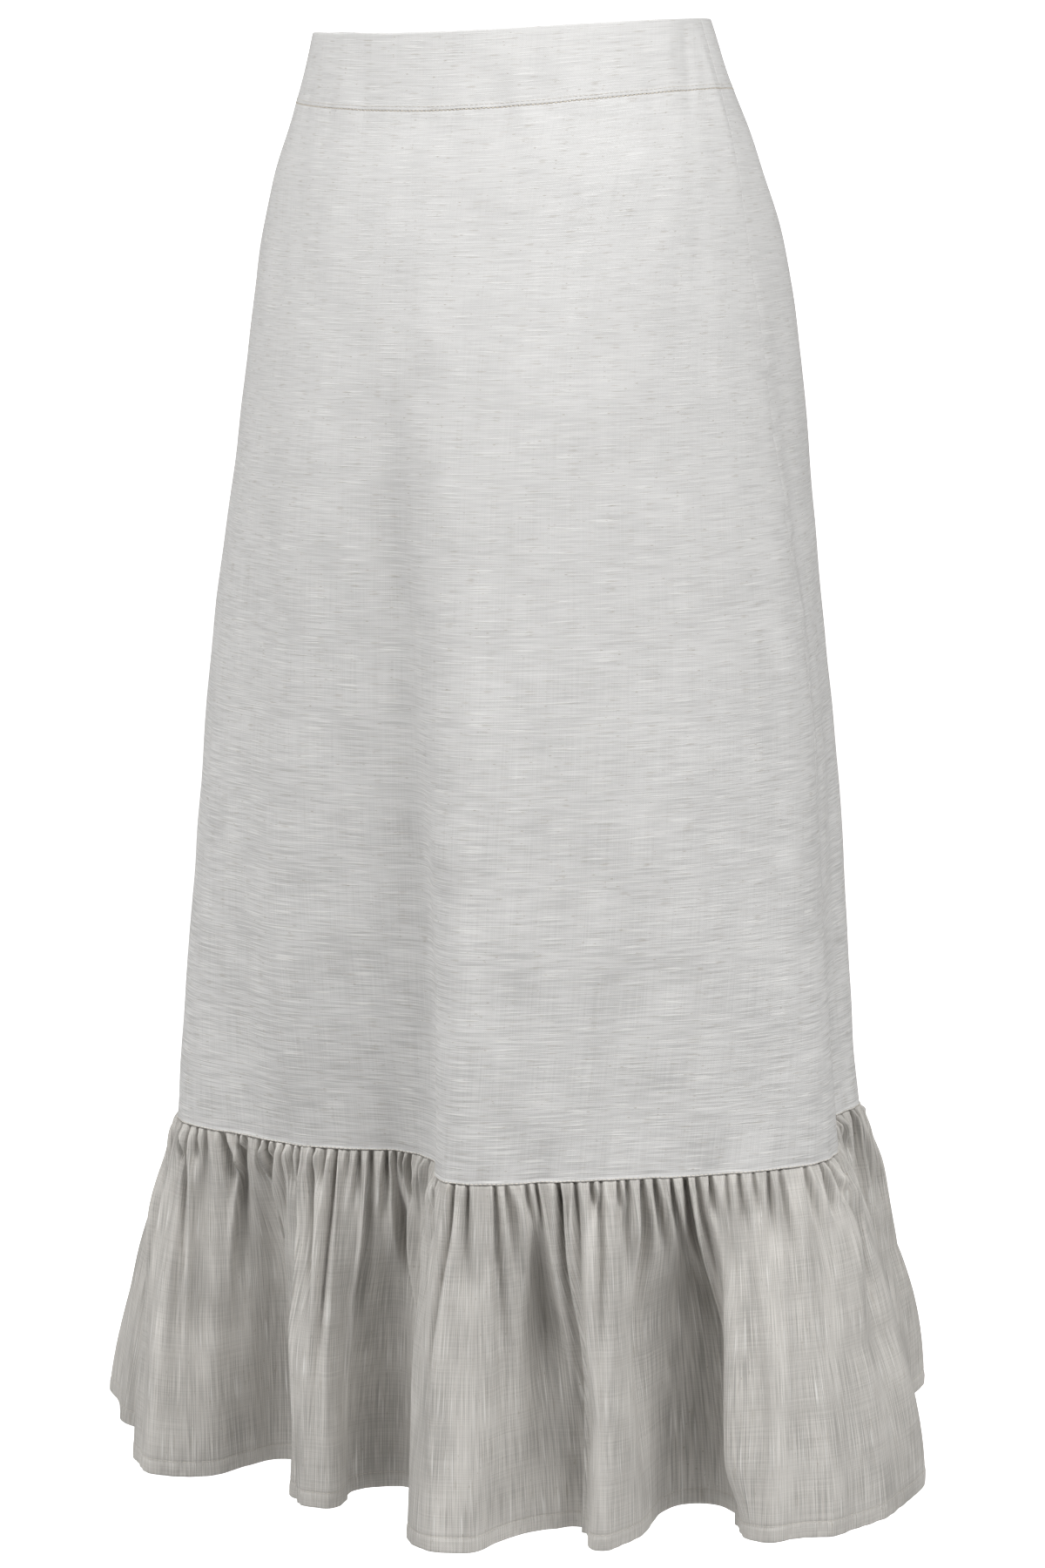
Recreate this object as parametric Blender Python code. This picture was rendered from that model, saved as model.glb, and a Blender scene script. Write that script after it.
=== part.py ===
"""A-line midi skirt with a contoured waistband and a gathered ruffle at the hem.

The skirt hangs from its waist, hollow and open at both ends. Its front faces -Y,
the wearer's left side is +X, and +Z is up. The origin is the middle of the waist,
halfway up the waistband. Everything is in metres.

Places on the cloth are given by two numbers. The share runs once round the skirt:
0 at the centre front, 0.25 at the left side seam, 0.5 at the centre back and -0.25
at the right side seam. The drop is the distance below the waistband's top edge.
"""

import math
from collections import namedtuple

import bmesh
import bpy
import numpy as np

# Lengths along the cloth
WAISTBAND_DEPTH = 0.0405
SEAM_DROP = 0.655  # waistband top edge to the ruffle's seam
RUFFLE_LENGTH = 0.213
HEM_TURN = 0.010
HEM_STEP = 0.0025  # length over which the wall thickens to the turned hem's

# Cloth walls, and the gap between two pieces at a seam
WAISTBAND_WALL = 0.0020
PANEL_WALL = 0.0012
RUFFLE_WALL = 0.0015
HEM_WALL = 0.0022
SEAM_GAP = 0.0003

# Gathers of the ruffle, on each of its two halves
GATHERS = 68
GATHER_HEIGHT = 0.0021  # from the cloth's middle to a ridge
GATHER_START = 0.55  # share of that height at the seam itself
GATHER_SWELL = 0.012  # distance below the seam where gathers stand highest
GATHER_FADE = 0.075  # distance over which they die away below that
UNEVENNESS = 0.35  # share by which gathers differ in height
UNEVEN_WAVES = (11, 29)  # slow and quick waves of that difference, all round

# How folds grow down the cloth
PANEL_FOLD_START = 0.10  # drop where the panels' folds begin
PANEL_FOLD_GROWTH = 1.9
RUFFLE_FLARE = 1.55  # over 1: the ruffle swings out most just below its seam

# Columns round half the skirt, and rows down each kind of piece
WAISTBAND_COLUMNS = 26
WAISTBAND_ROWS = 3
PANEL_COLUMNS = 46
PANEL_ROWS = 11
RUFFLE_ROWS = (0.0, 0.055, 0.15, 0.30, 0.48, 0.70)  # shares of the length above the hem

# How finely rings are measured, and the small step of the share that gives their direction
ELLIPSE_STEPS = 1440
RING_STEPS = 360
SHARE_STEP = 1e-4

SIDE_SEAM = 0.25  # share of the left side seam
FOLD_CENTRE_BACK = 0.020  # fold angles are measured round this point behind the axis

# Level rings of the body of the skirt, seen from above as ellipses. The side seams stand at
# seam_deg from the front. rise_left and rise_back tilt a ring, in metres for each metre, and
# dip lowers it at the centre front and back.
Section = namedtuple(
    "Section",
    "drop half_width half_depth shift_left shift_back seam_deg rise_left rise_back dip",
)
SECTIONS = (
    Section(0.0000, 0.1215, 0.0945, -0.004, 0.000, 90, 0.033, 0.000, 0.0037),
    Section(0.0405, 0.1340, 0.1035, -0.003, 0.002, 88, 0.033, 0.000, 0.0078),
    Section(0.080, 0.1475, 0.1160, -0.003, 0.005, 84, 0.031, 0.002, 0.0060),
    Section(0.117, 0.1570, 0.1270, -0.003, 0.009, 81, 0.027, 0.004, 0.0030),
    Section(0.195, 0.1705, 0.1440, -0.004, 0.013, 81, 0.022, 0.008, 0.0000),
    Section(0.275, 0.1800, 0.1550, -0.005, 0.015, 84, 0.018, 0.012, 0.0000),
    Section(0.355, 0.1890, 0.1620, -0.006, 0.016, 88, 0.014, 0.015, 0.0000),
    Section(0.434, 0.1960, 0.1700, -0.006, 0.017, 90, 0.010, 0.018, 0.0000),
    Section(0.514, 0.2020, 0.1760, -0.006, 0.018, 91, 0.006, 0.021, 0.0000),
    Section(0.655, 0.2110, 0.1850, -0.006, 0.020, 91, 0.000, 0.028, 0.0000),
)

# Soft folds of the panels where they meet the ruffle, and the waves of the ruffle's hem. Each
# row is a ridge and the trough that follows it, going round to the wearer's left: the share of
# the cloth, the angle from the front and the reach from the fold centre.
Fold = namedtuple("Fold", "ridge ridge_deg ridge_reach trough trough_deg trough_reach")
PANEL_FOLDS = (
    Fold(-0.250, -90, 0.203, -0.200, -70, 0.211),
    Fold(-0.142, -53, 0.214, -0.100, -41, 0.182),
    Fold(-0.061, -26, 0.161, -0.012, -5, 0.136),
    Fold(0.036, 10, 0.183, 0.087, 29, 0.181),
    Fold(0.125, 44, 0.186, 0.165, 58, 0.200),
    Fold(0.238, 79, 0.222, 0.288, 97, 0.188),
    Fold(0.335, 111, 0.203, 0.363, 120, 0.192),
    Fold(0.395, 130, 0.208, 0.430, 145, 0.190),
    Fold(0.468, 160, 0.203, 0.498, 174, 0.188),
    Fold(0.535, 191, 0.202, 0.575, 208, 0.188),
    Fold(0.620, 226, 0.204, 0.675, 246, 0.190),
)
RUFFLE_FOLDS = (
    Fold(-0.225, -77, 0.272, -0.193, -64, 0.249),
    Fold(-0.150, -44, 0.250, -0.101, -46, 0.163),
    Fold(-0.057, -19, 0.191, -0.018, -12, 0.126),
    Fold(0.038, 9, 0.221, 0.084, 34, 0.184),
    Fold(0.100, 35, 0.218, 0.143, 58, 0.186),
    Fold(0.188, 59, 0.260, 0.245, 85, 0.268),
    Fold(0.262, 93, 0.252, 0.305, 109, 0.216),
    Fold(0.350, 128, 0.253, 0.385, 137, 0.202),
    Fold(0.425, 151, 0.246, 0.458, 162, 0.196),
    Fold(0.500, 180, 0.242, 0.538, 191, 0.196),
    Fold(0.578, 207, 0.246, 0.615, 216, 0.200),
    Fold(0.655, 236, 0.258, 0.700, 248, 0.212),
)

# Cloth colours and finish
LINEN = (0.66, 0.65, 0.63, 1.0)
LINEN_SHADE = (0.58, 0.57, 0.54, 1.0)
CLOTH_ROUGHNESS = 0.9


def clear_scene():
    """Take away every object that the scene starts with."""
    for obj in list(bpy.data.objects):
        bpy.data.objects.remove(obj, do_unlink=True)


def linen_material(name, colour):
    """A matt cloth material of one colour."""
    material = bpy.data.materials.new(name)
    material.use_nodes = True
    shader = material.node_tree.nodes["Principled BSDF"]
    shader.inputs["Base Color"].default_value = colour
    shader.inputs["Roughness"].default_value = CLOTH_ROUGHNESS
    shader.inputs["Metallic"].default_value = 0.0
    return material


def smooth_through(places, values, wanted):
    """Values of a smooth curve through the given ones (Catmull-Rom, uneven steps)."""
    steps = np.diff(places)[:, None]
    slopes = np.diff(values, axis=0) / steps
    inner = (slopes[:-1] * steps[1:] + slopes[1:] * steps[:-1]) / (steps[1:] + steps[:-1])
    tangents = np.vstack([slopes[:1], inner, slopes[-1:]])
    first = np.clip(np.searchsorted(places, wanted, side="right") - 1, 0, len(places) - 2)
    step = steps[first]
    part = np.clip((wanted - places[first])[:, None] / step, 0.0, 1.0)
    start = (2 * part**3 - 3 * part**2 + 1) * values[first]
    start_pull = (part**3 - 2 * part**2 + part) * step * tangents[first]
    end = (3 * part**2 - 2 * part**3) * values[first + 1]
    end_pull = (part**3 - part**2) * step * tangents[first + 1]
    return start + start_pull + end + end_pull


def section_at(drop):
    """The section's sizes at each drop, as an array with a row for each drop."""
    rows = np.array(SECTIONS)
    return smooth_through(rows[:, 0], rows[:, 1:], drop)


def ellipse_ring(share, half_width, half_depth, seam_deg):
    """Points of one ellipse at shares of its length, with the side seams at their angle."""
    turn = np.linspace(-math.pi, math.pi, ELLIPSE_STEPS + 1)
    across = half_width * np.sin(turn)
    back = -half_depth * np.cos(turn)
    length = np.concatenate([[0.0], np.cumsum(np.hypot(np.diff(across), np.diff(back)))])
    seam_turn = math.radians(seam_deg)
    right_seam, left_seam = np.interp([-seam_turn, seam_turn], turn, length)
    whole = length[-1]
    shares = (-0.5, -SIDE_SEAM, SIDE_SEAM, 0.5)
    lengths = (0.0, right_seam, left_seam, whole)
    place = np.interp(np.interp(share, shares, lengths), length, turn)
    return np.column_stack([half_width * np.sin(place), -half_depth * np.cos(place)])


def fold_ring(folds, share):
    """The wavy ring, seen from above, that the ridges and troughs of the folds give."""
    places = []
    points = []
    for fold in folds:
        ridge = (fold.ridge, fold.ridge_deg, fold.ridge_reach)
        trough = (fold.trough, fold.trough_deg, fold.trough_reach)
        for place, degrees, reach in (ridge, trough):
            turn = math.radians(degrees)
            places.append(place)
            points.append((reach * math.sin(turn), FOLD_CENTRE_BACK - reach * math.cos(turn)))
    places = np.array(places)
    points = np.array(points)
    around = np.concatenate([places - 1.0, places, places + 1.0])
    return smooth_through(around, np.vstack([points, points, points]), share)


def whole_turn(share):
    """The same places with every share brought between -0.5 and 0.5."""
    return (np.asarray(share, float) + 0.5) % 1.0 - 0.5


def body_points(share, drop):
    """The outer face of the waistband and panels at one drop."""
    share = whole_turn(share)
    sizes = section_at(np.array([drop]))[0]
    half_width, half_depth, shift_left, shift_back, seam_deg, rise_left, rise_back, dip = sizes
    plan = ellipse_ring(share, half_width, half_depth, seam_deg) + (shift_left, shift_back)
    hem = SECTIONS[-1]
    plain = ellipse_ring(share, hem.half_width, hem.half_depth, hem.seam_deg)
    plain = plain + (hem.shift_left, hem.shift_back)
    grown = max(0.0, (drop - PANEL_FOLD_START) / (SEAM_DROP - PANEL_FOLD_START))
    plan = plan + (fold_ring(PANEL_FOLDS, share) - plain) * grown**PANEL_FOLD_GROWTH
    forward = np.cos(2 * math.pi * share) ** 2
    height = WAISTBAND_DEPTH / 2 - drop - dip * forward
    height = height + rise_left * plan[:, 0] + rise_back * plan[:, 1]
    return np.column_stack([plan, height])


def ruffle_base(share, along):
    """The ruffle's outer face without its gathers; along is the share of its length."""
    share = whole_turn(share)
    seam = body_points(share, SEAM_DROP)
    flare = 1.0 - (1.0 - along) ** RUFFLE_FLARE
    out = (fold_ring(RUFFLE_FOLDS, share) - seam[:, :2]) * flare
    fallen = (RUFFLE_LENGTH * along) ** 2 - (out**2).sum(axis=1)
    height = seam[:, 2] - np.sqrt(np.maximum(fallen, 0.0))
    return np.column_stack([seam[:, :2] + out, height])


def outward(surface, share, place):
    """Level unit normals of the ring at one place, pointing away from the axis."""
    along = surface(share + SHARE_STEP, place) - surface(share - SHARE_STEP, place)
    normals = np.column_stack([along[:, 1], -along[:, 0], np.zeros(len(along))])
    return normals / np.linalg.norm(normals, axis=1, keepdims=True)


def gather_height(share, along):
    """How far the gathers stand out: ridges at even columns and troughs at odd ones."""
    below = RUFFLE_LENGTH * along
    swell = GATHER_START + (1.0 - GATHER_START) * min(1.0, below / GATHER_SWELL)
    fade = math.exp(-max(0.0, below - GATHER_SWELL) / GATHER_FADE)
    turn = 2 * math.pi * np.asarray(share)
    slow_wave, quick_wave = UNEVEN_WAVES
    uneven = 1.0 + UNEVENNESS * np.sin(quick_wave * turn) * np.cos(slow_wave * turn)
    return GATHER_HEIGHT * swell * fade * uneven * np.cos(2 * GATHERS * turn)


def half_shares(columns, start, length):
    """Shares of the columns across one half, a seam's gap short of it at both ends."""
    edge = SEAM_GAP / 2 / length
    return np.linspace(start + edge, start + 0.5 - edge, columns + 1)


def ring_length(surface, place):
    """Length once round the skirt at one place."""
    share = np.linspace(-0.5, 0.5, RING_STEPS + 1)
    return np.linalg.norm(np.diff(surface(share, place), axis=0), axis=1).sum()


def wall_object(name, outer, inner, material):
    """A closed wall between two grids of points, a row for each level down the cloth."""
    rows, columns = outer.shape[:2]
    mesh = bmesh.new()
    faces = (outer, inner)
    verts = [[[mesh.verts.new(point) for point in row] for row in grid] for grid in faces]
    out, back = verts
    for row in range(rows - 1):
        for column in range(columns - 1):
            here, after = column, column + 1
            mesh.faces.new((out[row][here], out[row + 1][here], out[row + 1][after], out[row][after]))
            mesh.faces.new((back[row][here], back[row][after], back[row + 1][after], back[row + 1][here]))
    for column in range(columns - 1):
        here, after = column, column + 1
        mesh.faces.new((out[0][here], out[0][after], back[0][after], back[0][here]))
        mesh.faces.new((out[-1][after], out[-1][here], back[-1][here], back[-1][after]))
    for row in range(rows - 1):
        here, below = row, row + 1
        mesh.faces.new((out[here][0], back[here][0], back[below][0], out[below][0]))
        mesh.faces.new((out[here][-1], out[below][-1], back[below][-1], back[here][-1]))
    bmesh.ops.recalc_face_normals(mesh, faces=mesh.faces)
    data = bpy.data.meshes.new(name)
    mesh.to_mesh(data)
    mesh.free()
    data.shade_smooth()
    data.materials.append(material)
    obj = bpy.data.objects.new(name, data)
    bpy.context.scene.collection.objects.link(obj)
    return obj


def waistband_half(name, start, material):
    """One half of the waistband, from its top edge to the seam below it."""
    drops = np.linspace(0.0, WAISTBAND_DEPTH - SEAM_GAP / 2, WAISTBAND_ROWS + 1)
    share = half_shares(WAISTBAND_COLUMNS, start, ring_length(body_points, 0.0))
    outer = np.array([body_points(share, drop) for drop in drops])
    inner = [
        body_points(share, drop) - WAISTBAND_WALL * outward(body_points, share, drop)
        for drop in drops
    ]
    return wall_object(name, outer, np.array(inner), material)


def panel_half(name, start, material):
    """One panel, from the waistband's seam to the ruffle's, side seam to side seam."""
    drops = np.linspace(WAISTBAND_DEPTH + SEAM_GAP / 2, SEAM_DROP - SEAM_GAP / 2, PANEL_ROWS + 1)
    rows = []
    for drop in drops:
        share = half_shares(PANEL_COLUMNS, start, ring_length(body_points, drop))
        points = body_points(share, drop)
        rows.append((points, points - PANEL_WALL * outward(body_points, share, drop)))
    outer, inner = (np.array(side) for side in zip(*rows))
    return wall_object(name, outer, inner, material)


def ruffle_half(name, start, material):
    """One half of the ruffle, gathered into its seam and with its hem turned up."""
    top = SEAM_GAP / 2 / RUFFLE_LENGTH
    hem_top = 1.0 - HEM_TURN / RUFFLE_LENGTH
    levels = [(max(level, top), RUFFLE_WALL) for level in RUFFLE_ROWS]
    turned = hem_top + HEM_STEP / RUFFLE_LENGTH
    levels += [(hem_top, RUFFLE_WALL), (turned, HEM_WALL), (1.0, HEM_WALL)]
    rows = []
    for level, wall in levels:
        share = half_shares(2 * GATHERS, start, ring_length(ruffle_base, level))
        normals = outward(ruffle_base, share, level)
        points = ruffle_base(share, level)
        points = points + normals * gather_height(share, level)[:, None]
        rows.append((points, points - wall * normals))
    outer, inner = (np.array(side) for side in zip(*rows))
    return wall_object(name, outer, inner, material)


def main():
    clear_scene()
    linen = linen_material("linen", LINEN)
    ruffle_linen = linen_material("ruffle_linen", LINEN_SHADE)
    for side, start in (("front", -SIDE_SEAM), ("back", SIDE_SEAM)):
        waistband_half(f"waistband_{side}", start, linen)
        panel_half(f"{side}_panel", start, linen)
        ruffle_half(f"ruffle_{side}", start, ruffle_linen)


if __name__ == "__main__":
    main()
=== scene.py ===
"""Looks of a linen midi skirt: fine cloth, seams, stitches, a studio and a camera.

Each CAD node is replaced by a finer cloth of the same cut and pose. Places on the cloth
are given as in the part: the share runs once round the skirt from the centre front
towards the wearer's left, and the drop is the distance below the waistband's top edge.
Everything is in metres, with the front of the skirt facing -Y.
"""

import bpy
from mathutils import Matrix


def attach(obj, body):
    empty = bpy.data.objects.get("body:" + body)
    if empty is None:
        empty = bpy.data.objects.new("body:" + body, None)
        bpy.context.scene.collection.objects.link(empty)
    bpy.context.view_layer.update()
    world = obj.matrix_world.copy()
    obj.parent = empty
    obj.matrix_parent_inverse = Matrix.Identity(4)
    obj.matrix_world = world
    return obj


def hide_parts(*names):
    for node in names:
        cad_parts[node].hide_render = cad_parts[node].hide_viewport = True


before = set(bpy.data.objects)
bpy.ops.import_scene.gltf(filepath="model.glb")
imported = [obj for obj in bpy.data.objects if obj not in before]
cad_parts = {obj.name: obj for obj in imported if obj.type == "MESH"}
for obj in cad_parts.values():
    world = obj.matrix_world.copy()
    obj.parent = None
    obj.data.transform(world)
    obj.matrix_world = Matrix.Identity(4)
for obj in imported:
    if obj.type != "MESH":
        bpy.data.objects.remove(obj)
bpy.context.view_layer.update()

import math
from collections import namedtuple

import bpy
import numpy as np
from mathutils import Vector

bl_info = {
    "name": "Linen Midi Skirt",
    "version": (1, 0, 0),
    "blender": (4, 5, 0),
    "location": "3D View > Sidebar > Skirt",
    "description": "Dresses a midi skirt in slubby linen, with seams, gathers and stitches",
    "category": "Object",
}

BODY = "root"

# Cut of the skirt, as in the part
WAISTBAND_DEPTH = 0.0405
SEAM_DROP = 0.655
RUFFLE_LENGTH = 0.213
HEM_TURN = 0.010
RUFFLE_CUT = 1.98
PANEL_FOLD_START = 0.10
PANEL_FOLD_GROWTH = 1.9
RUFFLE_FLARE = 1.55
SIDE_SEAM = 0.25
FOLD_CENTRE_BACK = 0.020
ELLIPSE_STEPS = 1440
SEAM_GAP = 0.0003

# Walls of the finer cloth
WAISTBAND_WALL = 0.0020
PANEL_WALL = 0.0012
RUFFLE_WALL = 0.0009
HEM_WALL = 0.0019

# Level rings of the body, as in the part
Section = namedtuple(
    "Section",
    "drop half_width half_depth shift_left shift_back seam_deg rise_left rise_back dip",
)
SECTIONS = (
    Section(0.0000, 0.1215, 0.0945, -0.004, 0.000, 90, 0.033, 0.000, 0.0037),
    Section(0.0405, 0.1340, 0.1035, -0.003, 0.002, 88, 0.033, 0.000, 0.0078),
    Section(0.080, 0.1475, 0.1160, -0.003, 0.005, 84, 0.031, 0.002, 0.0060),
    Section(0.117, 0.1570, 0.1270, -0.003, 0.009, 81, 0.027, 0.004, 0.0030),
    Section(0.195, 0.1705, 0.1440, -0.004, 0.013, 81, 0.022, 0.008, 0.0000),
    Section(0.275, 0.1800, 0.1550, -0.005, 0.015, 84, 0.018, 0.012, 0.0000),
    Section(0.355, 0.1890, 0.1620, -0.006, 0.016, 88, 0.014, 0.015, 0.0000),
    Section(0.434, 0.1960, 0.1700, -0.006, 0.017, 90, 0.010, 0.018, 0.0000),
    Section(0.514, 0.2020, 0.1760, -0.006, 0.018, 91, 0.006, 0.021, 0.0000),
    Section(0.655, 0.2110, 0.1850, -0.006, 0.020, 91, 0.000, 0.028, 0.0000),
)

# Largest folds, as in the part: a ridge and the trough that follows it
Fold = namedtuple("Fold", "ridge ridge_deg ridge_reach trough trough_deg trough_reach")
PANEL_FOLDS = (
    Fold(-0.250, -90, 0.203, -0.200, -70, 0.211),
    Fold(-0.142, -53, 0.214, -0.100, -41, 0.182),
    Fold(-0.061, -26, 0.161, -0.012, -5, 0.136),
    Fold(0.036, 10, 0.183, 0.087, 29, 0.181),
    Fold(0.125, 44, 0.186, 0.165, 58, 0.200),
    Fold(0.238, 79, 0.222, 0.288, 97, 0.188),
    Fold(0.335, 111, 0.203, 0.363, 120, 0.192),
    Fold(0.395, 130, 0.208, 0.430, 145, 0.190),
    Fold(0.468, 160, 0.203, 0.498, 174, 0.188),
    Fold(0.535, 191, 0.202, 0.575, 208, 0.188),
    Fold(0.620, 226, 0.204, 0.675, 246, 0.190),
)
RUFFLE_FOLDS = (
    Fold(-0.225, -77, 0.272, -0.193, -64, 0.249),
    Fold(-0.150, -44, 0.250, -0.101, -46, 0.163),
    Fold(-0.057, -19, 0.191, -0.018, -12, 0.126),
    Fold(0.038, 9, 0.221, 0.084, 34, 0.184),
    Fold(0.100, 35, 0.218, 0.143, 58, 0.186),
    Fold(0.188, 59, 0.260, 0.245, 85, 0.268),
    Fold(0.262, 93, 0.252, 0.305, 109, 0.216),
    Fold(0.350, 128, 0.253, 0.385, 137, 0.202),
    Fold(0.425, 151, 0.246, 0.458, 162, 0.196),
    Fold(0.500, 180, 0.242, 0.538, 191, 0.196),
    Fold(0.578, 207, 0.246, 0.615, 216, 0.200),
    Fold(0.655, 236, 0.258, 0.700, 248, 0.212),
)

# Soft creases of the panels: where each starts and ends, its half width, and its height, which is
# below zero for a trough. Drops are below the waistband's top edge.
Crease = namedtuple("Crease", "share drop end_share end_drop half_width height")
PANEL_CREASES = (
    Crease(-0.018, 0.170, 0.008, 0.660, 0.017, -0.0092),
    Crease(0.036, 0.260, 0.044, 0.650, 0.020, 0.0018),
    Crease(-0.076, 0.160, -0.082, 0.650, 0.024, 0.0062),
    Crease(0.205, 0.045, 0.195, 0.170, 0.007, -0.0008),
    Crease(0.222, 0.190, 0.200, 0.520, 0.010, -0.0014),
    Crease(0.075, 0.330, 0.060, 0.650, 0.020, 0.0010),
    Crease(0.130, 0.360, 0.135, 0.650, 0.018, -0.0008),
    Crease(0.266, 0.100, 0.268, 0.660, 0.013, -0.0032),
    Crease(0.290, 0.250, 0.310, 0.650, 0.016, -0.0010),
    Crease(0.345, 0.190, 0.350, 0.640, 0.018, 0.0013),
    Crease(0.410, 0.220, 0.400, 0.650, 0.013, -0.0018),
    Crease(0.455, 0.150, 0.470, 0.640, 0.018, 0.0012),
    Crease(0.540, 0.200, 0.555, 0.650, 0.014, -0.0019),
    Crease(0.610, 0.180, 0.600, 0.640, 0.018, 0.0013),
    Crease(0.680, 0.240, 0.665, 0.650, 0.013, -0.0015),
    Crease(0.725, 0.200, 0.735, 0.640, 0.016, 0.0010),
)

# Small wrinkles of the waistband, near its side seams for the most part
WAIST_WRINKLES = (
    Crease(0.222, -0.004, 0.205, 0.052, 0.0045, -0.0009),
    Crease(0.196, 0.004, 0.188, 0.050, 0.0060, 0.0007),
    Crease(0.236, 0.002, 0.243, 0.062, 0.0040, 0.0008),
    Crease(-0.180, 0.000, -0.190, 0.050, 0.0060, -0.0006),
    Crease(0.060, 0.006, 0.075, 0.052, 0.0090, 0.0004),
    Crease(0.330, 0.000, 0.322, 0.052, 0.0060, -0.0006),
    Crease(0.470, 0.000, 0.480, 0.052, 0.0080, 0.0006),
    Crease(0.610, 0.000, 0.600, 0.052, 0.0070, -0.0006),
)

# Troughs between the ruffle's lobes, with drops below the ruffle's seam
RUFFLE_CREASES = (
    Crease(-0.190, 0.030, -0.186, 0.260, 0.018, -0.0070),
    Crease(-0.100, 0.015, -0.093, 0.260, 0.018, -0.0150),
    Crease(-0.064, 0.050, -0.060, 0.260, 0.010, 0.0060),
    Crease(-0.030, 0.015, -0.027, 0.260, 0.019, -0.0125),
    Crease(0.055, 0.030, 0.052, 0.260, 0.012, 0.0030),
    Crease(0.076, 0.015, 0.072, 0.260, 0.019, -0.0150),
    Crease(0.143, 0.010, 0.141, 0.260, 0.029, -0.0260),
    Crease(0.163, 0.030, 0.169, 0.190, 0.011, 0.0120),
    Crease(0.240, 0.020, 0.226, 0.260, 0.016, -0.0050),
    Crease(0.304, 0.020, 0.306, 0.260, 0.018, -0.0080),
    Crease(0.386, 0.020, 0.384, 0.260, 0.017, -0.0090),
    Crease(0.458, 0.020, 0.460, 0.260, 0.018, -0.0080),
    Crease(0.538, 0.020, 0.536, 0.260, 0.017, -0.0090),
    Crease(0.615, 0.020, 0.618, 0.260, 0.018, -0.0080),
    Crease(0.700, 0.020, 0.698, 0.260, 0.017, -0.0090),
)

# Gathers of the ruffle that are placed one by one; the others are drawn at random. Reach is how
# far down the ruffle each goes, and widths are half widths at the seam and at its end. Lean makes
# the side towards a greater share the gentle one, or the steep one where it is below zero.
Gather = namedtuple(
    "Gather", "share end_share reach half_width end_half_width depth lean", defaults=(0.0,)
)
PLACED_GATHERS = (
    Gather(-0.238, -0.236, 0.050, 0.0018, 0.0050, 0.0026),
    Gather(-0.212, -0.214, 0.090, 0.0020, 0.0060, 0.0030),
    Gather(-0.188, -0.184, 0.060, 0.0018, 0.0050, 0.0030),
    Gather(-0.160, -0.163, 0.110, 0.0020, 0.0060, 0.0032),
    Gather(-0.127, -0.128, 0.060, 0.0017, 0.0045, 0.0030),
    Gather(-0.117, -0.113, 0.036, 0.0022, 0.0050, 0.0056),
    Gather(-0.091, -0.096, 0.210, 0.0022, 0.0056, 0.0085, 0.6),
    Gather(-0.071, -0.066, 0.230, 0.0018, 0.0042, 0.0060, -0.6),
    Gather(-0.047, -0.047, 0.030, 0.0015, 0.0030, 0.0026),
    Gather(-0.037, -0.037, 0.190, 0.0018, 0.0048, 0.0058, 0.5),
    Gather(-0.025, -0.013, 0.110, 0.0022, 0.0050, 0.0055),
    Gather(0.009, 0.011, 0.055, 0.0017, 0.0040, 0.0046),
    Gather(0.040, 0.034, 0.120, 0.0017, 0.0050, 0.0048),
    Gather(0.048, 0.049, 0.065, 0.0016, 0.0040, 0.0042),
    Gather(0.061, 0.063, 0.130, 0.0016, 0.0045, 0.0044),
    Gather(0.075, 0.075, 0.130, 0.0018, 0.0060, 0.0040),
    Gather(0.090, 0.0805, 0.240, 0.0018, 0.0042, 0.0075, -0.6),
    Gather(0.109, 0.104, 0.120, 0.0016, 0.0050, 0.0046),
    Gather(0.121, 0.120, 0.050, 0.0016, 0.0035, 0.0042),
    Gather(0.128, 0.126, 0.160, 0.0018, 0.0060, 0.0050),
    Gather(0.134, 0.137, 0.060, 0.0016, 0.0040, 0.0044),
    Gather(0.149, 0.155, 0.240, 0.0020, 0.0050, 0.0080, -0.6),
    Gather(0.169, 0.168, 0.030, 0.0015, 0.0030, 0.0024),
    Gather(0.182, 0.183, 0.022, 0.0014, 0.0026, 0.0026),
    Gather(0.196, 0.198, 0.060, 0.0016, 0.0050, 0.0030),
    Gather(0.210, 0.214, 0.050, 0.0018, 0.0060, 0.0036),
    Gather(0.226, 0.236, 0.036, 0.0022, 0.0060, 0.0048),
    Gather(0.268, 0.272, 0.120, 0.0020, 0.0060, 0.0046),
    Gather(0.300, 0.298, 0.075, 0.0030, 0.0060, 0.0080),
    Gather(0.322, 0.330, 0.150, 0.0020, 0.0070, 0.0048),
    Gather(0.358, 0.362, 0.060, 0.0018, 0.0050, 0.0034),
    Gather(0.392, 0.385, 0.130, 0.0019, 0.0065, 0.0046),
    Gather(0.418, 0.420, 0.050, 0.0017, 0.0045, 0.0032),
    Gather(0.447, 0.454, 0.160, 0.0020, 0.0070, 0.0050),
    Gather(0.482, 0.480, 0.070, 0.0018, 0.0050, 0.0036),
    Gather(0.515, 0.508, 0.120, 0.0019, 0.0065, 0.0044),
    Gather(0.549, 0.553, 0.060, 0.0018, 0.0050, 0.0034),
    Gather(0.572, 0.565, 0.150, 0.0020, 0.0070, 0.0048),
    Gather(0.603, 0.606, 0.070, 0.0018, 0.0050, 0.0036),
    Gather(0.634, 0.640, 0.130, 0.0020, 0.0065, 0.0046),
    Gather(0.668, 0.664, 0.055, 0.0017, 0.0050, 0.0032),
    Gather(0.702, 0.709, 0.140, 0.0020, 0.0065, 0.0046),
    Gather(0.731, 0.728, 0.060, 0.0018, 0.0050, 0.0034),
)

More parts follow.
